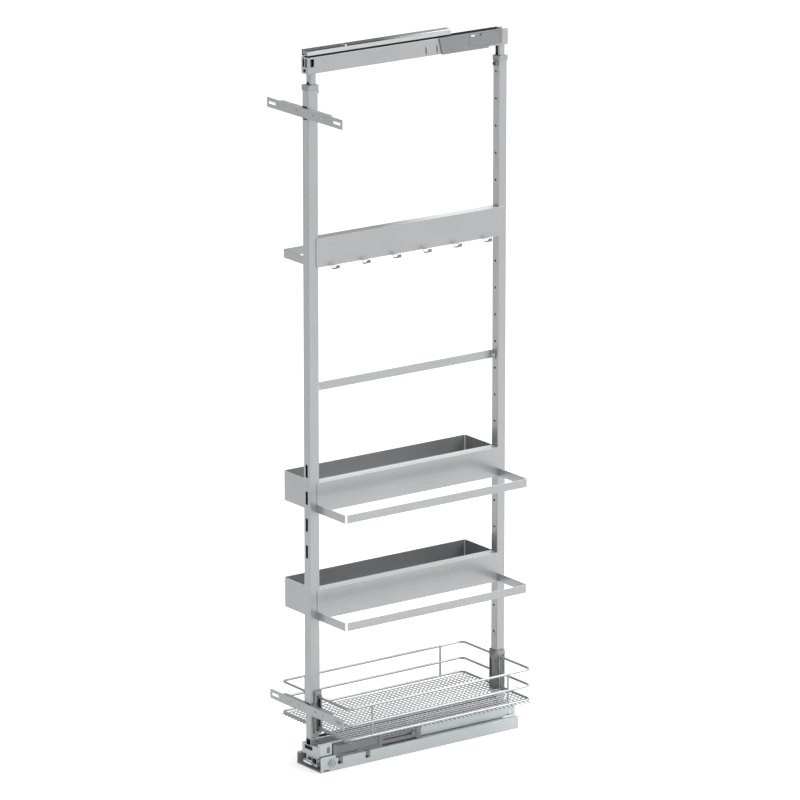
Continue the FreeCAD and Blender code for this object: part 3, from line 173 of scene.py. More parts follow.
class Graph:
    """Node tree of one material or of the world."""

    def __init__(self, owner: bpy.types.Material | bpy.types.World) -> None:
        """Start with the owner's tree emptied.

        Args:
            owner: the material or world.
        """
        self.owner = owner
        self.owner.use_nodes = True
        self.tree = self.owner.node_tree
        self.tree.nodes.clear()

    @classmethod
    def material(cls, name: str) -> "Graph":
        """Start a new material."""
        return cls(bpy.data.materials.new(name))

    def node(self, kind: str, settings: dict[str, object], inputs: dict[int | str, Link]) -> Made:
        """Add any node.

        Args:
            kind: the node's type.
            settings: its settings, set first.
            inputs: values or links of its sockets.

        Returns:
            The node.
        """
        node = self.tree.nodes.new(kind)
        for key, setting in settings.items():
            setattr(node, key, setting)
        for key, given in inputs.items():
            socket = node.inputs[key]
            if isinstance(given, Value):
                self.tree.links.new(given.socket, socket)
            elif isinstance(given, bpy.types.NodeSocket):
                self.tree.links.new(given, socket)
            elif isinstance(given, (tuple, list)) and socket.type == "RGBA" and len(given) == 3:
                socket.default_value = (*given, 1.0)
            else:
                socket.default_value = given
        return Made(self, node)

    def place_of(self, kind: str) -> bpy.types.NodeSocket:
        """Coordinates of one kind."""
        return self.node("ShaderNodeTexCoord", {}, {}).socket(kind)

    def place(self) -> bpy.types.NodeSocket:
        """Object coordinates, which are the frame's own axes."""
        return self.place_of("Object")

    def axes(self) -> tuple[Value, Value, Value]:
        """Object coordinates as three numbers."""
        split = self.node("ShaderNodeSeparateXYZ", {}, {0: self.place()})
        return split.value(0), split.value(1), split.value(2)

    def facing(self) -> tuple[Value, Value, Value]:
        """The surface's own direction.

        Returns:
            Its three parts.
        """
        geometry = self.node("ShaderNodeNewGeometry", {}, {})
        split = self.node("ShaderNodeSeparateXYZ", {}, {0: geometry.socket("True Normal")})
        return split.value(0), split.value(1), split.value(2)

    def stretched(self, scale: Sequence[float]) -> bpy.types.NodeSocket:
        """Object coordinates scaled differently along each axis."""
        return self.node("ShaderNodeMapping", {}, {"Vector": self.place(), "Scale": tuple(scale)}).socket(0)

    def noise(self, scale: float, detail: float = 2.0, at: bpy.types.NodeSocket | None = None) -> Value:
        """Noise between 0 and 1.

        Args:
            scale: waves per metre.
            detail: octaves.
            at: coordinates, or object coordinates if left out.

        Returns:
            The noise.
        """
        inputs = {"Vector": at or self.place(), "Scale": scale, "Detail": detail}
        return self.node("ShaderNodeTexNoise", {}, inputs).value(0)

    def mix(self, factor: Link, first: Link, second: Link) -> bpy.types.NodeSocket:
        """Blend of two colours."""
        mixed = self.node("ShaderNodeMix", {"data_type": "RGBA"}, {0: factor, 6: first, 7: second})
        return mixed.socket(2)

    def bump(self, height: Value, strength: float, distance: float) -> bpy.types.NodeSocket:
        """Normal from a height.

        Args:
            height: the height, between 0 and 1.
            strength: how much of it shows.
            distance: metres between 0 and 1.

        Returns:
            The normal.
        """
        inputs = {"Height": height, "Strength": strength, "Distance": distance}
        return self.node("ShaderNodeBump", {}, inputs).socket(0)

    def surface(self, inputs: dict[int | str, Link]) -> bpy.types.Material:
        """Finish the tree with a Principled shader.

        Args:
            inputs: the shader's values or links.

        Returns:
            The material.
        """
        shader = self.node("ShaderNodeBsdfPrincipled", {}, inputs)
        self.node("ShaderNodeOutputMaterial", {}, {"Surface": shader.socket(0)})
        return self.owner


# ---- finishes -------------------------------------------------------------------------------------
def lighter(tone: Colour, share: float) -> Colour:
    """A colour moved by a share towards white, or towards black if the share is negative."""
    goal = 1.0 if share > 0 else 0.0
    return tuple(part + (goal - part) * abs(share) for part in tone)


@dataclass(frozen=True)
class PowderCoat:
    """Satin silver-grey powder coat: fine orange peel, metal flakes and a soft uneven tone."""

    name: str
    tone: Colour = (0.265, 0.268, 0.274)
    roughness: float = 0.36
    metallic: float = 0.55
    peel: float = 0.14
    top: float = 0.0
    top_tone: Colour = (0.70, 0.705, 0.71)
    fade: Pair | None = None
    fade_tone: Colour = (0.80, 0.805, 0.81)
    coat: float = 0.0
    glint: float = 0.0
    glint_tone: Colour = (0.95, 0.955, 0.96)
    glint_way: Pair = (0.81, -0.59)

    def build(self) -> bpy.types.Material:
        """Make the material.

        Upward faces take top_tone as painted light, a highlight where it is pale and shade where it is
        dark;
        it runs to fade_tone along the depth if fade is given, and bends that face glint_way take a painted
        highlight.

        Returns:
            The material.
        """
        graph = Graph.material(self.name)
        cloud = graph.noise(9.0, 3.0)
        flakes = graph.noise(2600.0, 1.0)
        tone = graph.mix(cloud, lighter(self.tone, -0.05), lighter(self.tone, 0.05))
        tone = graph.mix(flakes.above(0.56, 0.2) * 0.35, tone, lighter(self.tone, 0.35))
        # painted light on upward faces: a highlight with a pale top_tone, shade with a dark one
        if self.top:
            upward = graph.facing()[2].above(0.55, 0.5) * self.top
            pale = self.top_tone
            if self.fade:
                start, end = self.fade
                along = graph.axes()[1].above((start + end) / 2, (end - start) / 2)
                pale = graph.mix(along, self.top_tone, self.fade_tone)
            tone = graph.mix(upward, tone, pale)
        # painted highlight on the bends that face glint_way
        if self.glint:
            across, along, _ = graph.facing()
            right, back = self.glint_way
            bend = (across * right + along * back).above(0.93, 0.06) * self.glint
            tone = graph.mix(bend, tone, self.glint_tone)
        rough = graph.noise(40.0, 2.0) * 0.10 + (self.roughness - 0.05)
        peel = graph.noise(900.0, 2.0)
        normal = graph.bump(peel, self.peel, 0.05 * MM)
        return graph.surface({"Base Color": tone, "Roughness": rough, "Metallic": self.metallic,
                              "Normal": normal, "Coat Weight": self.coat, "Coat Roughness": 0.14})


@dataclass(frozen=True)
class ZincPlate:
    """Zinc-plated sheet: pale bluish grey, rolling lines along the rail and a faint spangle."""

    name: str
    tone: Colour = (0.43, 0.465, 0.47)
    roughness: float = 0.38
    metallic: float = 0.4

    def build(self) -> bpy.types.Material:
        """Make the material.

        Returns:
            The material.
        """
        graph = Graph.material(self.name)
        lines = graph.noise(1.0, 3.0, graph.stretched((900.0, 9.0, 900.0)))
        cells = graph.node("ShaderNodeTexVoronoi", {}, {"Vector": graph.place(), "Scale": 300.0})
        spangle = graph.node("ShaderNodeSeparateXYZ", {}, {0: cells.socket("Color")}).value(0)
        tone = graph.mix(spangle, lighter(self.tone, -0.025), lighter(self.tone, 0.03))
        tone = graph.mix(graph.noise(14.0, 3.0), lighter(self.tone, -0.05), tone)
        tone = graph.mix(lines.above(0.62, 0.15) * 0.12, tone, lighter(self.tone, -0.25))
        rough = spangle * 0.05 + lines * 0.10 + (self.roughness - 0.08)
        normal = graph.bump(lines, 0.10, 0.03 * MM)
        return graph.surface({"Base Color": tone, "Roughness": rough, "Metallic": self.metallic,
                              "Normal": normal})


@dataclass(frozen=True)
class BrightPlate:
    """Bright plated steel with fine drawing lines; a dark tone can cover its upward faces.

    The dark tone lies on upward faces and above dark_above, fades along the depth and leaves a clear gap;
    faces below dark_below take it as well, as painted shade of the gap beneath.
    """

    name: str
    tone: Colour = (0.78, 0.79, 0.80)
    roughness: float = 0.16
    grain: tuple[float, float, float] = (1200.0, 10.0, 1200.0)
    dark_top: float = 0.0
    dark_above: float = 9.0
    dark_below: float = 0.0
    dark_top_tone: Colour = (0.02, 0.02, 0.021)
    fade: Pair = (-0.08, 0.08)
    gap: Pair = (-0.163, -0.159)
    edge: float = 0.3 * MM

    def build(self) -> bpy.types.Material:
        """Make the material.

        Returns:
            The material.
        """
        graph = Graph.material(self.name)
        lines = graph.noise(1.0, 3.0, graph.stretched(self.grain))
        smear = graph.noise(30.0, 2.0)
        tone = graph.mix(smear, lighter(self.tone, -0.08), lighter(self.tone, 0.06))
        # dark tone on upward faces and the upper band; below dark_below it is painted shade of the gap
        # beneath
        if self.dark_top:
            _, along, height = graph.axes()
            start, end = self.fade
            dark_top_mask = graph.facing()[2].above(0.5, 0.2).maximum(height.above(self.dark_above, self.edge))
            dark_top_mask = dark_top_mask * along.below((start + end) / 2, end - start)
            dark_top_mask = dark_top_mask * (1.0 - along.within(*self.gap, 2 * self.edge))
            upward = dark_top_mask.maximum(height.below(self.dark_below, self.edge)) * self.dark_top
            tone = graph.mix(upward, tone, self.dark_top_tone)
        rough = lines * 0.10 + smear * 0.08 + (self.roughness - 0.08)
        normal = graph.bump(lines, 0.10, 0.02 * MM)
        return graph.surface({"Base Color": tone, "Roughness": rough, "Metallic": 1.0, "Normal": normal})


@dataclass(frozen=True)
class MouldedPlastic:
    """Moulded plastic: spark-eroded grain, slight flow marks and a soft sheen."""

    name: str
    tone: Colour = (0.145, 0.148, 0.153)
    roughness: float = 0.5
    grain: float = 0.3
    specular: float = 0.5

    def build(self) -> bpy.types.Material:
        """Make the material.

        Returns:
            The material.
        """
        graph = Graph.material(self.name)
        flow = graph.noise(60.0, 2.0, graph.stretched((1.0, 0.3, 1.0)))
        pits = graph.noise(1900.0, 2.0)
        tone = graph.mix(flow, lighter(self.tone, -0.06), lighter(self.tone, 0.05))
        tone = graph.mix(pits.below(0.4, 0.12) * 0.3, tone, lighter(self.tone, -0.25))
        rough = pits * 0.14 + (self.roughness - 0.07)
        normal = graph.bump(pits, self.grain, 0.04 * MM)
        return graph.surface({"Base Color": tone, "Roughness": rough, "Metallic": 0.0, "Normal": normal,
                              "Specular IOR Level": self.specular})


RAIL_FOOT, RAIL_TOP = (corner[2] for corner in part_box("cabinet_rail"))


class Finish(Enum):
    """Finishes of the frame's pieces."""

    # SILVER and TRAY: upward faces painted pale, a painted highlight; TRAY's glint paints a highlight on
    # the bends that face front right.
    SILVER = PowderCoat("silver_powder_coat", top=0.9, coat=0.9)
    TRAY = PowderCoat("tray_coat", top=0.9, coat=0.9, glint=0.95)
    # STRIP: upward faces painted dark at the front as painted shade, fading to a painted highlight towards
    # the back.
    STRIP = PowderCoat("hook_strip_coat", coat=0.9, top=0.95, top_tone=(0.13, 0.132, 0.135),
                       fade=(-0.15, 0.15))
    # BEAM: upward faces painted near-black, a painted shade of the gap under the rail.
    BEAM = PowderCoat("beam_coat", top=0.95, top_tone=(0.03, 0.03, 0.031), coat=0.6)
    # HOOK: the near-black tone is painted shade of the hooks' undersides and sides; their upward faces take
    # a painted highlight.
    HOOK = PowderCoat("hook_coat", tone=(0.07, 0.071, 0.073), metallic=0.2, top=0.95)
    # WIRE: a faint painted highlight along the wires' upward faces.
    WIRE = PowderCoat("silver_wire_coat", tone=(0.26, 0.263, 0.268), roughness=0.32, metallic=0.6,
                      peel=0.08, top=0.25)
    HANGER = PowderCoat("hanger_coat", tone=(0.20, 0.203, 0.207), roughness=0.42, metallic=0.4)
    BRACKET = PowderCoat("bracket_coat", tone=(0.30, 0.303, 0.31), roughness=0.34, metallic=0.6)
    CAP = PowderCoat("beam_cap_coat", tone=(0.30, 0.302, 0.31), roughness=0.3, metallic=0.7)
    RUNNER = ZincPlate("zinc_plated_runner")
    BRIGHT = BrightPlate("bright_plated_screw", grain=(400.0, 400.0, 400.0), roughness=0.26)
    # CHROME: a dark tone on the rail's top and upper band; the dark band at its foot is painted shade of
    # the gap above the beam.
    CHROME = BrightPlate("bright_rail_plate", tone=(0.50, 0.505, 0.51), roughness=0.24, dark_top=0.97,
                         dark_above=RAIL_TOP - 2.5 * MM, dark_below=RAIL_FOOT + 1.7 * MM)
    # SLIDE: near-black; on the top slide this is painted shade of the deep gap it sits in, and the clamp
    # screws share the tone.
    SLIDE = BrightPlate("dark_plate_and_painted_shade", tone=(0.05, 0.05, 0.052), roughness=0.3)
    GREY_PLASTIC = MouldedPlastic("grey_moulded_plastic")
    COLLAR = MouldedPlastic("collar_plastic", tone=(0.24, 0.243, 0.247), roughness=0.45)
    SHADOW = MouldedPlastic("unlit_hollow", tone=(0.008, 0.008, 0.009), roughness=0.7, grain=0.1,
                            specular=0.05)
    CAM_PLASTIC = MouldedPlastic("grey_green_cam_plastic", tone=(0.30, 0.34, 0.32), roughness=0.42)
    PALE_PLASTIC = MouldedPlastic("pale_moulded_plastic", tone=(0.60, 0.605, 0.60), roughness=0.4)
    ROLLER = MouldedPlastic("white_roller_plastic", tone=(0.72, 0.72, 0.70), roughness=0.38, grain=0.1)


class Dresser:
    """Builds each finish once and puts it on pieces."""

    def __init__(self) -> None:
        """Start with no material made."""
        self.made: dict[Finish, bpy.types.Material] = {}

    def material(self, finish: Finish) -> bpy.types.Material:
        """The material of a finish, made at its first use.

        Args:
            finish: the finish.

        Returns:
            Its material.
        """
        if finish not in self.made:
            self.made[finish] = finish.value.build()
        return self.made[finish]

    def dress(self, piece: bpy.types.Object, finish: Finish) -> None:
        """Give one piece its finish."""
        piece.data.materials.clear()
        piece.data.materials.append(self.material(finish))

    def carry(self, names: Iterable[str], finish: Finish) -> None:
        """Give carried-over pieces their finish.

        Args:
            names: the pieces' names.
            finish: the finish of all of them.
        """
        for name in names:
            self.dress(frame["nodes"][name], finish)
            log.info("%s keeps its shape, finish %s", name, finish.name)


DRESSER = Dresser()


# ---- mesh tools -----------------------------------------------------------------------------------
MERGE = 1e-6
FLAT = 0.99
SAME_LEVEL = 0.02 * MM
SKIN = 0.3 * MM
HOLE_WALL = 3.0 * MM
OPENING = 30.0 * MM
HOLE_CHAMFER = 0.4 * MM


def finished(mesh: bmesh.types.BMesh, name: str, finish: Finish, body: str, stands_for: Sequence[str],
             smooth_angle: float = 35.0, recalculate: bool = True) -> bpy.types.Object:
    """Turn a bmesh into a dressed piece that rides on a body.

    Args:
        mesh: the shape, freed here.
        name: the piece's name.
        finish: its finish.
        body: the body that carries it.
        stands_for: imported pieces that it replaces.
        smooth_angle: edges sharper than this stay sharp, in degrees.
        recalculate: whether the faces still have to be turned outwards.

    Returns:
        The piece.
    """
    if recalculate:
        bmesh.ops.remove_doubles(mesh, verts=mesh.verts, dist=MERGE)
        bmesh.ops.recalc_face_normals(mesh, faces=mesh.faces)
    for face in mesh.faces:
        face.smooth = True
    for edge in mesh.edges:
        edge.smooth = len(edge.link_faces) == 2 and edge.calc_face_angle(0.0) < math.radians(smooth_angle)
    data = bpy.data.meshes.new(name)
    mesh.to_mesh(data)
    mesh.free()
    piece = bpy.data.objects.new(name, data)
    bpy.context.scene.collection.objects.link(piece)
    DRESSER.dress(piece, finish)
    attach(piece, body)
    if stands_for:
        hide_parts(*stands_for)
    log.info("%s made, %d faces", name, len(data.polygons))
    return piece


def span(start: float, length: float) -> Pair:
    """A range that starts at one place and has one length."""
    return start, start + length


@dataclass(frozen=True)
class Recess:
    """Rectangular recess in a flat face, its faces painted with the unlit material as shade.

    The face looks along axis, towards side; first and second are the recess's ranges along the
    other two axes, in metres of the frame.
    """

    axis: int
    side: int
    first: Pair
    second: Pair
    depth: float = 0.5 * MM

    def others(self) -> list[tuple[int, Pair]]:
        """The two axes along the face with the recess's ranges."""
        rest = [axis for axis in range(3) if axis != self.axis]
        return list(zip(rest, (self.first, self.second)))

    def faces(self, mesh: bmesh.types.BMesh, level: float) -> list[bmesh.types.BMFace]:
        """Faces that look the recess's way at one level of its axis."""
        return [face for face in mesh.faces if face.normal[self.axis] * self.side > FLAT
                and abs(face.calc_center_median()[self.axis] - level) < SAME_LEVEL]

    def within(self, point: Vector) -> bool:
        """Whether a point lies inside the recess's rectangle."""
        return all(low < point[axis] < high for axis, (low, high) in self.others())

    def level(self, mesh: bmesh.types.BMesh) -> float:
        """The outermost level of the faces that overlap the rectangle.

        Args:
            mesh: the piece's mesh.

        Returns:
            The level along the recess's axis, or zero where no face is met.
        """
        levels = []
        for face in mesh.faces:
            if face.normal[self.axis] * self.side < FLAT:
                continue
            spans = [(min(v.co[axis] for v in face.verts), max(v.co[axis] for v in face.verts), low, high)
                     for axis, (low, high) in self.others()]
            if all(start < high and end > low for start, end, low, high in spans):
                levels.append(face.calc_center_median()[self.axis])
        if not levels:
            log.warning("no face for %s", self)
            return 0.0
        return max(levels, key=lambda value: value * self.side)

    def cut(self, mesh: bmesh.types.BMesh) -> None:
        """Press the recess into the mesh and mark its faces with the second material, the unlit painted
        shade.

        Args:
            mesh: the piece's mesh.
        """
        mesh.normal_update()
        level = self.level(mesh)
        for axis, limits in self.others():
            for at in limits:
                faces = self.faces(mesh, level)
                edges = {edge for face in faces for edge in face.edges}
                verts = {vert for face in faces for vert in face.verts}
                point, normal = Vector(), Vector()
                point[axis], normal[axis] = at, 1.0
                bmesh.ops.bisect_plane(mesh, geom=[*faces, *edges, *verts], plane_co=point, plane_no=normal)
                mesh.normal_update()
        chosen = [face for face in self.faces(mesh, level) if self.within(face.calc_center_median())]
        if not chosen:
            log.warning("nothing to press for %s", self)
            return
        made = bmesh.ops.extrude_face_region(mesh, geom=chosen)["geom"]
        bmesh.ops.delete(mesh, geom=[face for face in chosen if face.is_valid], context="FACES_ONLY")
        shift = Vector()
        shift[self.axis] = -self.side * self.depth
        verts = [item for item in made if isinstance(item, bmesh.types.BMVert)]
        bmesh.ops.translate(mesh, verts=verts, vec=shift)
        # the pressed faces take the unlit material: painted shade
        for face in {face for vert in verts for face in vert.link_faces}:
            face.material_index = 1


def darken(mesh: bmesh.types.BMesh, low: Sequence[float], high: Sequence[float], hollow: float) -> None:
    """Mark a tube's inside and its openings' walls as unlit, and ease the rims of its round holes.

    Args:
        mesh: the tube's mesh.
        low: low corner of its box.
        high: high corner of its box.
        hollow: faces deeper than this are inside.
    """
    rims = set()
    for face in mesh.faces:
        middle = face.calc_center_median()
        depths = [min(middle[axis] - low[axis], high[axis] - middle[axis]) for axis in range(3)]
        longest = max(edge.calc_length() for edge in face.edges)
        depth = min(depths[:2])
        if depth > hollow or (min(depths) > SKIN and longest < OPENING):
            face.material_index = 1
        if depth < hollow and min(depths) > SKIN and longest < HOLE_WALL:
            rims.update(edge for edge in face.edges if edge.is_convex
                        and abs(edge.calc_face_angle(0.0) - math.pi / 2) < 0.1)
    if rims:
        made = bmesh.ops.bevel(mesh, geom=list(rims), offset=HOLE_CHAMFER, offset_type="OFFSET",
                               segments=1, profile=0.5, affect="EDGES", material=-1)
        # the chamfered rims take the unlit material too: painted shade
        for face in made["faces"]:
            face.material_index = 1


def eased(name: str, finish: Finish, width: float = 0.35 * MM, hollow: float = 0.0,
          recesses: Sequence[Recess] = ()) -> bpy.types.Object:
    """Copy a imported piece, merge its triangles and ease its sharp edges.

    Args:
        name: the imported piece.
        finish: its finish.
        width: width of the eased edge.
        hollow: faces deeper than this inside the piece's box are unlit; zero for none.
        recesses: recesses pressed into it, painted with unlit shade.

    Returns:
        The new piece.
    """
    source = frame["nodes"][name]
    mesh = bmesh.new()
    mesh.from_mesh(source.data)
    bmesh.ops.remove_doubles(mesh, verts=mesh.verts, dist=MERGE)
    bmesh.ops.dissolve_limit(mesh, angle_limit=math.radians(0.5), verts=mesh.verts, edges=mesh.edges)
    for recess in recesses:
        recess.cut(mesh)
    if hollow:
        darken(mesh, *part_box(name), hollow)
    unlit = [index for index, face in enumerate(mesh.faces) if face.material_index == 1]
    piece = finished(mesh, name + "_eased", finish, source["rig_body"], [name], 180.0, False)
    piece.data.materials.append(DRESSER.material(Finish.SHADOW))
    for index in unlit:
        piece.data.polygons[index].material_index = 1
    bevel = piece.modifiers.new("eased_edges", "BEVEL")
    bevel.width = width
    bevel.segments = 2
    bevel.limit_method = "ANGLE"
    bevel.angle_limit = math.radians(40.0)
    bevel.harden_normals = True
    normals = piece.modifiers.new("face_normals", "WEIGHTED_NORMAL")
    normals.keep_sharp = True
    return piece


def cylinder(mesh: bmesh.types.BMesh, start: Vector, end: Vector, radius: float, sides: int = 12,
             bevel: float = 0.0) -> None:
    """Add a closed cylinder between two points.

    Args:
        mesh: where it goes.
        start: centre of one end.
        end: centre of the other end.
        radius: its radius.
        sides: faces round it.
        bevel: chamfer of the end rims.
    """
    run = end - start
    turn = run.to_track_quat("Z", "Y").to_matrix().to_4x4()
    matrix = Matrix.Translation((start + end) / 2) @ turn
    made = bmesh.ops.create_cone(mesh, cap_ends=True, segments=sides, radius1=radius, radius2=radius,
                                 depth=run.length, matrix=matrix)
    if bevel:
        rims = [edge for edge in {e for v in made["verts"] for e in v.link_edges}
                if any(len(face.verts) > 4 for face in edge.link_faces)]
        bmesh.ops.bevel(mesh, geom=rims, offset=bevel, offset_type="OFFSET", segments=2, profile=0.5,
                        affect="EDGES", material=-1)


def wire(mesh: bmesh.types.BMesh, path: Sequence[Vector], radius: float, sides: int = 10) -> None:
    """Sweep a round section along a path and cap its ends.

    Args:
        mesh: where the wire goes.
        path: points of its centre line.
        radius: the wire's radius.
        sides: faces round it.
    """
    rings = []
    for index, point in enumerate(path):
        before = path[max(index - 1, 0)]
        after = path[min(index + 1, len(path) - 1)]
        turn = (after - before).to_track_quat("Z", "Y").to_matrix().to_4x4()
        made = bmesh.ops.create_circle(mesh, segments=sides, radius=radius, cap_ends=False,
                                       matrix=Matrix.Translation(point) @ turn)
        rings.append(made["verts"])
    for first, second in zip(rings, rings[1:]):
        edges = {edge for ring in (first, second) for vert in ring for edge in vert.link_edges
                 if edge.other_vert(vert) in ring}
        bmesh.ops.bridge_loops(mesh, edges=list(edges))
    for ring in (rings[0], rings[-1]):
        edges = list({edge for vert in ring for edge in vert.link_edges if edge.other_vert(vert) in ring})
        bmesh.ops.contextual_create(mesh, geom=edges)


def corner_path(points: Sequence[Vector], radius: float, steps: int = 6) -> list[Vector]:
    """Round the inner corners of a right-angled path.

    Args:
        points: corners of the path.
        radius: radius of each bend.
        steps: spans in each bend.

    Returns:
        The path's points with its bends.
    """
    path = [points[0]]
    for before, corner, after in zip(points, points[1:], points[2:]):
        into = (before - corner).normalized()
        out = (after - corner).normalized()
        centre = corner + (into + out) * radius
        for step in range(steps + 1):
            angle = math.pi / 2 * step / steps
            path.append(centre - out * radius * math.cos(angle) - into * radius * math.sin(angle))
    path.append(points[-1])
    return path


# ---- wire basket ----------------------------------------------------------------------------------
@dataclass
class WireBasket:
    """Basket of round wires on two hangers, with a fine crossed-wire floor."""

    wire_rises: tuple[float, float, float] = (0.0, 0.0298, 0.0649)
    corner: float = 0.012
    wire_radius: float = 0.0026
    seat_gap: float = 0.0001
    upright_radius: float = 0.002
    upright_inset: float = 0.058
    mesh_pitch: float = 0.0105
    mesh_radius: float = 0.0011
    weld: float = 0.9
    edge_margin: float = 0.0021
    rod_inset: float = 0.004
    slot_drop: float = 0.022
    slot_height: float = 0.037
    slot_inset: float = 0.002
    slot_width: float = 0.007
    pocket_wall: float = 0.004
    pocket_foot: float = 0.006
    pocket_drop: float = 0.014
    long_overhang: float = 0.0045
    cross_overhang: float = 0.0029

    def __post_init__(self) -> None:
        """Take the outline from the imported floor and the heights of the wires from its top."""
        low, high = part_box("basket_floor")
        self.front, self.back = low[1], high[1]
        self.half_width, self.mesh_top = high[0], high[2]
        self.hanger_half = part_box("basket_side_right")[0][0]
        lowest = self.mesh_top + self.seat_gap + self.wire_radius
        self.rim_heights = [lowest + rise for rise in self.wire_rises]

    def ring(self, mesh: bmesh.types.BMesh, side: int, height: float) -> None:
        """Add one wire of one side, from hanger to hanger.

        Args:
            mesh: where it goes.
            side: 1 or -1 along X.
            height: its centre line's height.
        """
        inner = side * self.hanger_half
        outer = side * self.half_width
        corners = [Vector((inner, self.front, height)), Vector((outer, self.front, height)),
                   Vector((outer, self.back, height)), Vector((inner, self.back, height))]
        wire(mesh, corner_path(corners, self.corner), self.wire_radius)

    def side(self, side: int, name: str) -> None:
        """Build one side: three wires and two uprights.

        Args:
            side: 1 or -1 along X.
            name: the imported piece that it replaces.
        """
        mesh = bmesh.new()
        for height in self.rim_heights:
            self.ring(mesh, side, height)
        for y in (self.front + self.upright_inset, self.back - self.upright_inset):
            x = side * self.half_width
            cylinder(mesh, Vector((x, y, self.rim_heights[0])), Vector((x, y, self.rim_heights[2])),
                     self.upright_radius, 10)
        for y in (self.front + self.rod_inset, self.back - self.rod_inset):
            x = side * (self.hanger_half + self.upright_radius)
            foot = Vector((x, y, self.rim_heights[0] - self.rod_inset))
            top = Vector((x, y, self.rim_heights[2] + self.rod_inset))
            cylinder(mesh, foot, top, self.upright_radius, 12, 0.5 * MM)
        finished(mesh, name + "_wires", Finish.WIRE, "frame", [name])

    def floor(self) -> None:
        """Build the floor of thin crossed wires, which sink into each other where they are welded."""
        mesh = bmesh.new()
        upper = self.mesh_top - self.mesh_radius
        lower = upper - 2 * self.mesh_radius * self.weld
        columns = int(2 * (self.half_width - self.edge_margin) / self.mesh_pitch)
        rows = int((self.back - self.front - 2 * self.edge_margin) / self.mesh_pitch)
        middle = (self.front + self.back) / 2
        for index in range(columns + 1):
            x = (index - columns / 2) * self.mesh_pitch
            cylinder(mesh, Vector((x, self.front - self.long_overhang, upper)),
                     Vector((x, self.back + self.long_overhang, upper)), self.mesh_radius, 6)
        for index in range(rows + 1):
            y = middle + (index - rows / 2) * self.mesh_pitch
            cylinder(mesh, Vector((-self.half_width - self.cross_overhang, y, lower)),
                     Vector((self.half_width + self.cross_overhang, y, lower)), self.mesh_radius, 6)
        finished(mesh, "basket_floor_wires", Finish.WIRE, "frame", ["basket_floor"], 70.0)

    def build(self) -> None:
        """Build the basket's pieces."""
        self.side(-1, "basket_side_left")
        self.side(1, "basket_side_right")
        self.floor()
        for name in ("front_hanger", "back_hanger"):
            low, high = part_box(name)
            upright = (high[2] - self.slot_drop - self.slot_height, high[2] - self.slot_drop)
            # slot and pocket are pressed in and painted with unlit shade
            slot = Recess(1, -1, span(low[0] + self.slot_inset, self.slot_width), upright)
            pocket = Recess(0, 1, (low[1] + self.pocket_wall, high[1] - self.pocket_wall),
                            (low[2] + self.pocket_foot, high[2] - self.pocket_drop))
            eased(name, Finish.HANGER, 0.3 * MM, recesses=[slot, pocket])


# ---- floor runner ---------------------------------------------------------------------------------
@dataclass
class FloorRunner:
    """Three-part runner on the cabinet floor with its soft-close unit."""

    rollers: tuple[str, ...] = ("lower_rollers_front", "lower_rollers_rear", "upper_rollers_front",
                                "upper_rollers_rear")
    steel: tuple[str, ...] = ("lower_axle_front", "lower_axle_rear", "upper_axle_front", "upper_axle_rear")
    plastic: tuple[str, ...] = ("damper_track", "damper_catch")
    plastic_edge: float = 0.5 * MM
    seam: float = 1.2 * MM
    snap: float = 6.0 * MM
    nose_radius: float = 5.0 * MM
    nose_height: float = 13.5 * MM

    def nose(self) -> None:
        """Add the bright rounded stop in front of the middle rail."""
        low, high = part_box("mid_rail")
        mesh = bmesh.new()
        centre_y = low[1] - self.nose_radius - 0.5 * MM
        cylinder(mesh, Vector((low[0] + 3 * MM, centre_y, self.nose_height)),
                 Vector((high[0] - 8 * MM, centre_y, self.nose_height)), self.nose_radius, 24, 1.2 * MM)
        finished(mesh, "rounded_stop", Finish.BRIGHT, "middle_rail", [])

    def unit(self) -> None:
        """Dress the soft-close housing with its seams and snap windows."""
        low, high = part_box("damper_housing")
        front, foot, top = low[1], low[2], high[2]
        # seams and snap windows are pressed in and painted with unlit shade
        lid_seam = Recess(0, 1, (front + 6 * MM, front + 30 * MM), span(top - 3.0 * MM, self.seam))
        rear_seam = Recess(0, 1, (front + 48 * MM, high[1] - 8 * MM), span(top - 4.0 * MM, self.seam))
        side_seam = Recess(0, 1, (front + 30 * MM, front + 62 * MM), span(foot + 17 * MM, self.seam))
        front_snap = Recess(0, 1, span(front + 8 * MM, self.snap), span(foot + 0.5 * MM, 5.5 * MM))
        rear_snap = Recess(0, 1, span(front + 77 * MM, self.snap), span(foot + 0.5 * MM, 4.0 * MM))
        eased("damper_housing", Finish.GREY_PLASTIC, self.plastic_edge,
              recesses=[lid_seam, rear_seam, side_seam, front_snap, rear_snap])

    def build(self) -> None:
        """Dress the runner's pieces."""
        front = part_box("floor_rail")[0][1]
        # notches, foot slot and the carriage's mouth are pressed in and painted with unlit shade
        front_notch = Recess(0, 1, span(front + 42 * MM, 7 * MM), span(12.5 * MM, 6.5 * MM))
        rear_notch = Recess(0, 1, span(front + 111 * MM, 6 * MM), span(12.0 * MM, 5.0 * MM))
        foot_slot = Recess(0, 1, span(front + 9 * MM, 9 * MM), span(2.0 * MM, 2.0 * MM))
        eased("floor_rail", Finish.RUNNER, recesses=[front_notch, rear_notch, foot_slot])
        eased("mid_rail", Finish.RUNNER)
        low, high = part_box("carriage")
        mouth = Recess(1, -1, (low[0] + 9.0 * MM, high[0] - 12.0 * MM), span(high[2] - 11.0 * MM, 8.0 * MM))
        eased("carriage", Finish.RUNNER, recesses=[mouth])
        eased("front_block", Finish.RUNNER)
        self.nose()
        self.unit()
        for name in self.plastic:
            eased(name, Finish.GREY_PLASTIC, self.plastic_edge)
        eased("adjuster_disc", Finish.CAM_PLASTIC, 0.4 * MM)
        DRESSER.carry(["adjuster_rivet"], Finish.CAM_PLASTIC)
        DRESSER.carry(self.rollers, Finish.ROLLER)
        DRESSER.carry(self.steel, Finish.BRIGHT)


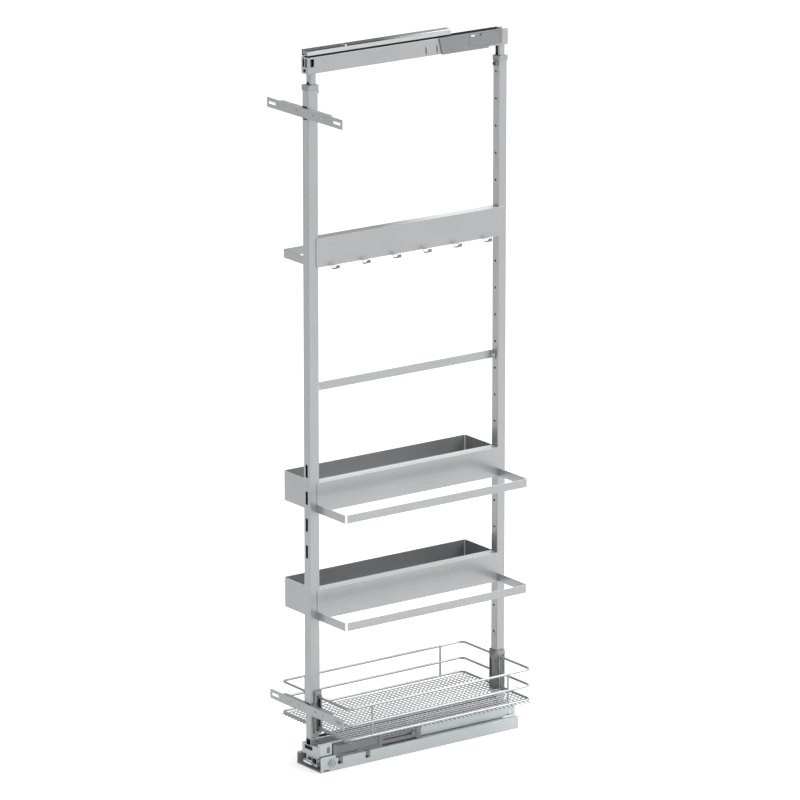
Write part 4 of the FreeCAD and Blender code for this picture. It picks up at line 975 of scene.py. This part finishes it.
# ---- posts and fittings ---------------------------------------------------------------------------
@dataclass
class Posts:
    """Both posts, their feet, collars and the door brackets."""

    coated: tuple[str, ...] = ("bottom_tube", "foot_post", "front_post", "back_post")
    brackets: tuple[str, ...] = ("lower_door_bracket", "upper_door_bracket", "lower_bracket_clamp",
                                 "upper_bracket_clamp")
    gap: float = 3.6 * MM
    clearance: float = 0.3 * MM
    gap_inset: float = 2.5 * MM
    edge_inset: float = 4.0 * MM

    def shadows(self, name: str) -> list[Recess]:
        """Dark gaps above and below the upper bracket's seat on the front post.

        Args:
            name: the post that is being dressed.

        Returns:
            The recesses, none for the other posts.
        """
        if name != "front_post":
            return []
        low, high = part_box(name)
        bottom, top = (corner[2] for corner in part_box("upper_door_bracket"))
        across = (low[0] + self.gap_inset, high[0] - self.edge_inset)
        return [Recess(1, -1, across, (top + self.clearance, top + self.gap)),
                Recess(1, -1, across, (bottom - self.gap, bottom - self.clearance))]

    def build(self) -> None:
        """Dress the posts."""
        for name in self.coated:
            # tube insides, hole walls and the front post's gaps are painted with unlit shade
            eased(name, Finish.SILVER, 0.2 * MM, 0.8 * MM, self.shadows(name))
        for name in self.brackets:
            eased(name, Finish.BRACKET, 0.25 * MM)
        for name in ("front_collar", "back_collar"):
            eased(name, Finish.COLLAR, 0.6 * MM)
        DRESSER.carry(["bracket_rivets"], Finish.BRACKET)
        DRESSER.carry(["clamp_screws"], Finish.SLIDE)


@dataclass
class CoatHooks:
    """Six curled tongues pressed out of the hook strip's lower edge."""

    count: int = 6
    width: float = 14.0 * MM
    tip_width: float = 7.0 * MM
    sheet: float = 2.0 * MM
    droop: float = 2.0 * MM
    taper_from: float = 0.6
    tip_height: float = 0.85
    rows: int = 6
    steps: int = 14

    def line(self, part: float) -> tuple[float, float]:
        """Reach and drop of the tongue's middle line, as parts of its box.

        Args:
            part: way along the tongue, 0 at the strip and 1 at the tip.

        Returns:
            Reach from the strip and height over the lowest point, both 0 to 1.
        """
        angle = math.pi * (0.08 + 0.92 * part)
        return (1.0 - math.cos(angle)) / 2, 1.0 - math.sin(angle)

    def tongue(self, mesh: bmesh.types.BMesh, middle: float) -> None:
        """Add one tongue.

        Args:
            mesh: where it goes.
            middle: its place along the strip.
        """
        low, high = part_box("coat_hooks")
        made = bmesh.ops.create_grid(mesh, x_segments=self.steps, y_segments=self.rows, size=0.5)
        for vert in made["verts"]:
            part, side = vert.co.x + 0.5, vert.co.y * 2.0
            reach, rise = self.line(part)
            taper = max(0.0, part - self.taper_from) / (1.0 - self.taper_from)
            width = self.width + (self.tip_width - self.width) * taper
            height = (high[2] - low[2] - self.sheet + self.droop) * (1.0 if part < 0.5 else self.tip_height)
            vert.co = Vector((low[0] + reach * (high[0] - low[0] - self.sheet), middle + side * width / 2,
                              low[2] + self.sheet - self.droop + rise * height))
        faces = list({face for vert in made["verts"] for face in vert.link_faces})
        bmesh.ops.solidify(mesh, geom=faces, thickness=self.sheet)

    def build(self) -> None:
        """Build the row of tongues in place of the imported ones."""
        low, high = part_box("coat_hooks")
        pitch = (high[1] - low[1] - self.width) / (self.count - 1)
        mesh = bmesh.new()
        for index in range(self.count):
            self.tongue(mesh, low[1] + self.width / 2 + index * pitch)
        finished(mesh, "curled_coat_hooks", Finish.HOOK, "frame", ["coat_hooks"], 50.0)


@dataclass
class Fittings:
    """Trays, bottle rails, hook strip and towel bar."""

    trays: tuple[str, ...] = ("lower_tray", "upper_tray")
    rails: tuple[str, ...] = ("lower_bottle_rail", "upper_bottle_rail")
    strip: tuple[str, ...] = ("hook_strip", "hook_strip_rail")
    seam: float = 0.6 * MM
    seam_depth: float = 0.3 * MM
    seam_inset: float = 14.0 * MM

    def build(self) -> None:
        """Dress the fittings."""
        eased("towel_bar", Finish.SILVER, 0.3 * MM)
        for name in self.trays:
            low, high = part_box(name)
            # the screw hole and the seam line are pressed in and painted with unlit shade
            hole = Recess(2, 1, span(high[0] - 4.6 * MM, 2.4 * MM), span(low[1] + 4.0 * MM, 4.0 * MM))
            ends = (low[1] + self.seam_inset, high[1] - self.seam_inset)
            seam = Recess(2, 1, span(high[0] - 6.6 * MM, self.seam), ends, self.seam_depth)
            eased(name, Finish.TRAY, 0.2 * MM, recesses=[hole, seam])
        for name in self.rails:
            eased(name, Finish.TRAY, 0.3 * MM)
        for name in self.strip:
            eased(name, Finish.STRIP, 0.3 * MM)
        CoatHooks().build()
        DRESSER.carry(["fixing_screws"], Finish.BRIGHT)


# ---- head -----------------------------------------------------------------------------------------
@dataclass
class Head:
    """Telescopic head with the top guide."""

    guides: tuple[str, ...] = ("guide_roller_lower_front", "guide_roller_lower_rear",
                               "guide_roller_upper_front", "guide_roller_upper_rear")
    sheet_edge: float = 0.25 * MM
    nose_depth: float = 5.0 * MM
    nose_gap: float = 0.6 * MM
    rail_wall: float = 1.7 * MM
    mark: float = 1.6 * MM
    marks_at: Pair = (33.0 * MM, 60.0 * MM)
    tube_gaps: tuple[tuple[str, float], ...] = (("front_inner_tube", 5.0 * MM),
                                                ("back_inner_tube", 20.0 * MM))

    def nose(self) -> None:
        """Add the moulded nose of the slide inside the cabinet rail."""
        low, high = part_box("cabinet_rail")
        size = Vector((high[0] - low[0] - 4.2 * MM, self.nose_depth, high[2] - low[2] - 3.6 * MM))
        middle = Vector((0.0, low[1] + self.nose_depth / 2 + self.nose_gap,
                         high[2] - self.rail_wall - size.z / 2))
        mesh = bmesh.new()
        matrix = Matrix.Translation(middle) @ Matrix.Diagonal((*size, 1.0))
        bmesh.ops.create_cube(mesh, size=1.0, matrix=matrix)
        front = [face for face in mesh.faces if face.normal.y < -0.9]
        bmesh.ops.inset_individual(mesh, faces=front, thickness=1.6 * MM, depth=-0.8 * MM)
        bmesh.ops.bevel(mesh, geom=mesh.edges[:], offset=0.5 * MM, offset_type="OFFSET", segments=2,
                        profile=0.5, affect="EDGES", material=-1)
        finished(mesh, "slide_nose", Finish.COLLAR, "top_slide", [])

    def tubes(self) -> None:
        """Dress the inner tubes, each with a dark gap just above the collars."""
        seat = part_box("front_collar")[1][2] + 0.3 * MM
        for name, height in self.tube_gaps:
            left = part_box(name)[0][0]
            # painted shade: the recess takes the unlit material
            dark = Recess(1, -1, (left + 2.5 * MM, left + 9.0 * MM), span(seat, height))
            eased(name, Finish.SILVER, self.sheet_edge, recesses=[dark])

    def beam(self) -> None:
        """Dress the beam with its two pressed marks, and its slotted front cap."""
        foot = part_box("top_beam")[0][2]
        # the pressed marks, the cap's slots and the beam's inside are painted with unlit shade
        marks = [Recess(0, 1, span(y, self.mark), (foot + 7 * MM, foot + 21 * MM), 0.3 * MM)
                 for y in self.marks_at]
        eased("top_beam", Finish.BEAM, self.sheet_edge, 1.5 * MM, marks)
        low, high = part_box("beam_front_cap")
        middle = (low[0] + high[0]) / 2
        upright = (high[2] - 20 * MM, high[2] - 5 * MM)
        left_slot = Recess(1, -1, (middle - 6.0 * MM, middle - 1.2 * MM), upright)
        right_slot = Recess(1, -1, (middle + 1.2 * MM, middle + 6.0 * MM), upright)
        foot_slot = Recess(1, -1, (middle - 4.0 * MM, middle + 2.0 * MM), span(low[2] + 3 * MM, 4 * MM))
        eased("beam_front_cap", Finish.CAP, 0.3 * MM, recesses=[left_slot, right_slot, foot_slot])

    def build(self) -> None:
        """Dress the head."""
        eased("beam_end_bracket", Finish.SILVER, self.sheet_edge)
        self.tubes()
        self.beam()
        eased("top_damper_cover", Finish.GREY_PLASTIC, 0.3 * MM)
        eased("cabinet_rail", Finish.CHROME, self.sheet_edge)
        self.nose()
        DRESSER.carry(["top_catch"], Finish.PALE_PLASTIC)
        # the top slide's near-black tone is painted shade of the deep gap it sits in
        DRESSER.carry(["top_mid_rail"], Finish.SLIDE)
        DRESSER.carry(["guide_pins"], Finish.BRIGHT)
        DRESSER.carry(self.guides, Finish.ROLLER)


# ---- stage ----------------------------------------------------------------------------------------
@dataclass
class Studio:
    """Pale floor, soft lights and the camera."""

    target: tuple[float, float, float] = (-0.0036, -0.0193, 0.7375)
    azimuth: float = 54.07
    elevation: float = 15.42
    distance: float = 12.927
    lens: float = 287.9
    lit_point: tuple[float, float, float] = (0.0, 0.0, 0.75)
    floor_size: float = 30.0
    floor_drop: float = 0.5 * MM
    floor_tone: Colour = (0.70, 0.70, 0.70)
    floor_glow: float = 0.6
    sky: float = 0.39
    overhead: float = 0.95
    right_side: float = 0.34
    back_side: float = 0.45
    dimmest: float = 0.02

    def floor(self) -> None:
        """Lay the pale floor."""
        mesh = bmesh.new()
        bmesh.ops.create_grid(mesh, x_segments=1, y_segments=1, size=self.floor_size,
                              matrix=Matrix.Translation((0.0, 0.0, -self.floor_drop)))
        data = bpy.data.meshes.new("floor")
        mesh.to_mesh(data)
        mesh.free()
        ground = bpy.data.objects.new("floor", data)
        bpy.context.scene.collection.objects.link(ground)
        graph = Graph.material("pale_floor")
        speckle = graph.noise(30.0, 2.0)
        tone = graph.mix(speckle, lighter(self.floor_tone, -0.01), self.floor_tone)
        data.materials.append(graph.surface({"Base Color": tone, "Roughness": 0.7, "Emission Color": tone,
                                             "Emission Strength": self.floor_glow}))

    def light(self, name: str, place: Sequence[float], size: Pair, power: float) -> None:
        """Hang one soft light that faces the frame's middle.

        Args:
            name: its name.
            place: where it hangs.
            size: its width and height.
            power: its watts.
        """
        lamp = bpy.data.lights.new(name, "AREA")
        lamp.shape = "RECTANGLE"
        lamp.size, lamp.size_y = size
        lamp.energy = power
        holder = bpy.data.objects.new(name, lamp)
        bpy.context.scene.collection.objects.link(holder)
        holder.location = place
        way = Vector(self.lit_point) - Vector(place)
        holder.rotation_euler = way.to_track_quat("-Z", "Y").to_euler()

    def world(self) -> None:
        """Fill the room with white light, brightest overhead and dimmest on the door's side."""
        world = bpy.data.worlds.new("studio")
        graph = Graph(world)
        way = graph.node("ShaderNodeSeparateXYZ", {}, {0: graph.place_of("Generated")})
        right, back, up = way.value(0), way.value(1), way.value(2)
        strength = self.sky + up.maximum(0.0) * self.overhead
        strength = strength + right * self.right_side + back * self.back_side
        light = graph.node("ShaderNodeBackground", {}, {"Color": (1.0, 1.0, 1.0),
                                                        "Strength": strength.maximum(self.dimmest)})
        graph.node("ShaderNodeOutputWorld", {}, {"Surface": light.socket(0)})
        bpy.context.scene.world = world

    def camera(self) -> None:
        """Set the camera at its viewing angle."""
        data = bpy.data.cameras.new("camera")
        data.lens = self.lens
        data.sensor_width = 36.0
        data.clip_end = 100.0
        camera = bpy.data.objects.new("camera", data)
        bpy.context.scene.collection.objects.link(camera)
        azimuth = math.radians(self.azimuth)
        elevation = math.radians(self.elevation)
        away = Vector((math.sin(azimuth) * math.cos(elevation), -math.cos(azimuth) * math.cos(elevation),
                       math.sin(elevation)))
        camera.location = Vector(self.target) + away * self.distance
        camera.rotation_euler = (-away).to_track_quat("-Z", "Y").to_euler()
        bpy.context.scene.camera = camera

    def build(self) -> None:
        """Set the stage."""
        self.floor()
        self.world()
        self.light("key", place=(1.7, 2.0, 2.3), size=(1.4, 1.6), power=40.0)
        self.light("behind_camera", place=(4.5, -3.26, 1.9), size=(0.45, 3.2), power=18.0)
        self.light("top", place=(0.0, 0.6, 4.2), size=(2.6, 2.6), power=70.0)
        self.camera()
        bpy.context.scene.view_settings.view_transform = "Standard"


def main() -> None:
    """Build every sub-assembly, then the stage."""
    logging.basicConfig(level=logging.INFO, format="%(name)s: %(message)s")
    for assembly in (FloorRunner(), Posts(), Fittings(), WireBasket(), Head(), Studio()):
        assembly.build()


if __name__ == "__main__":
    main()
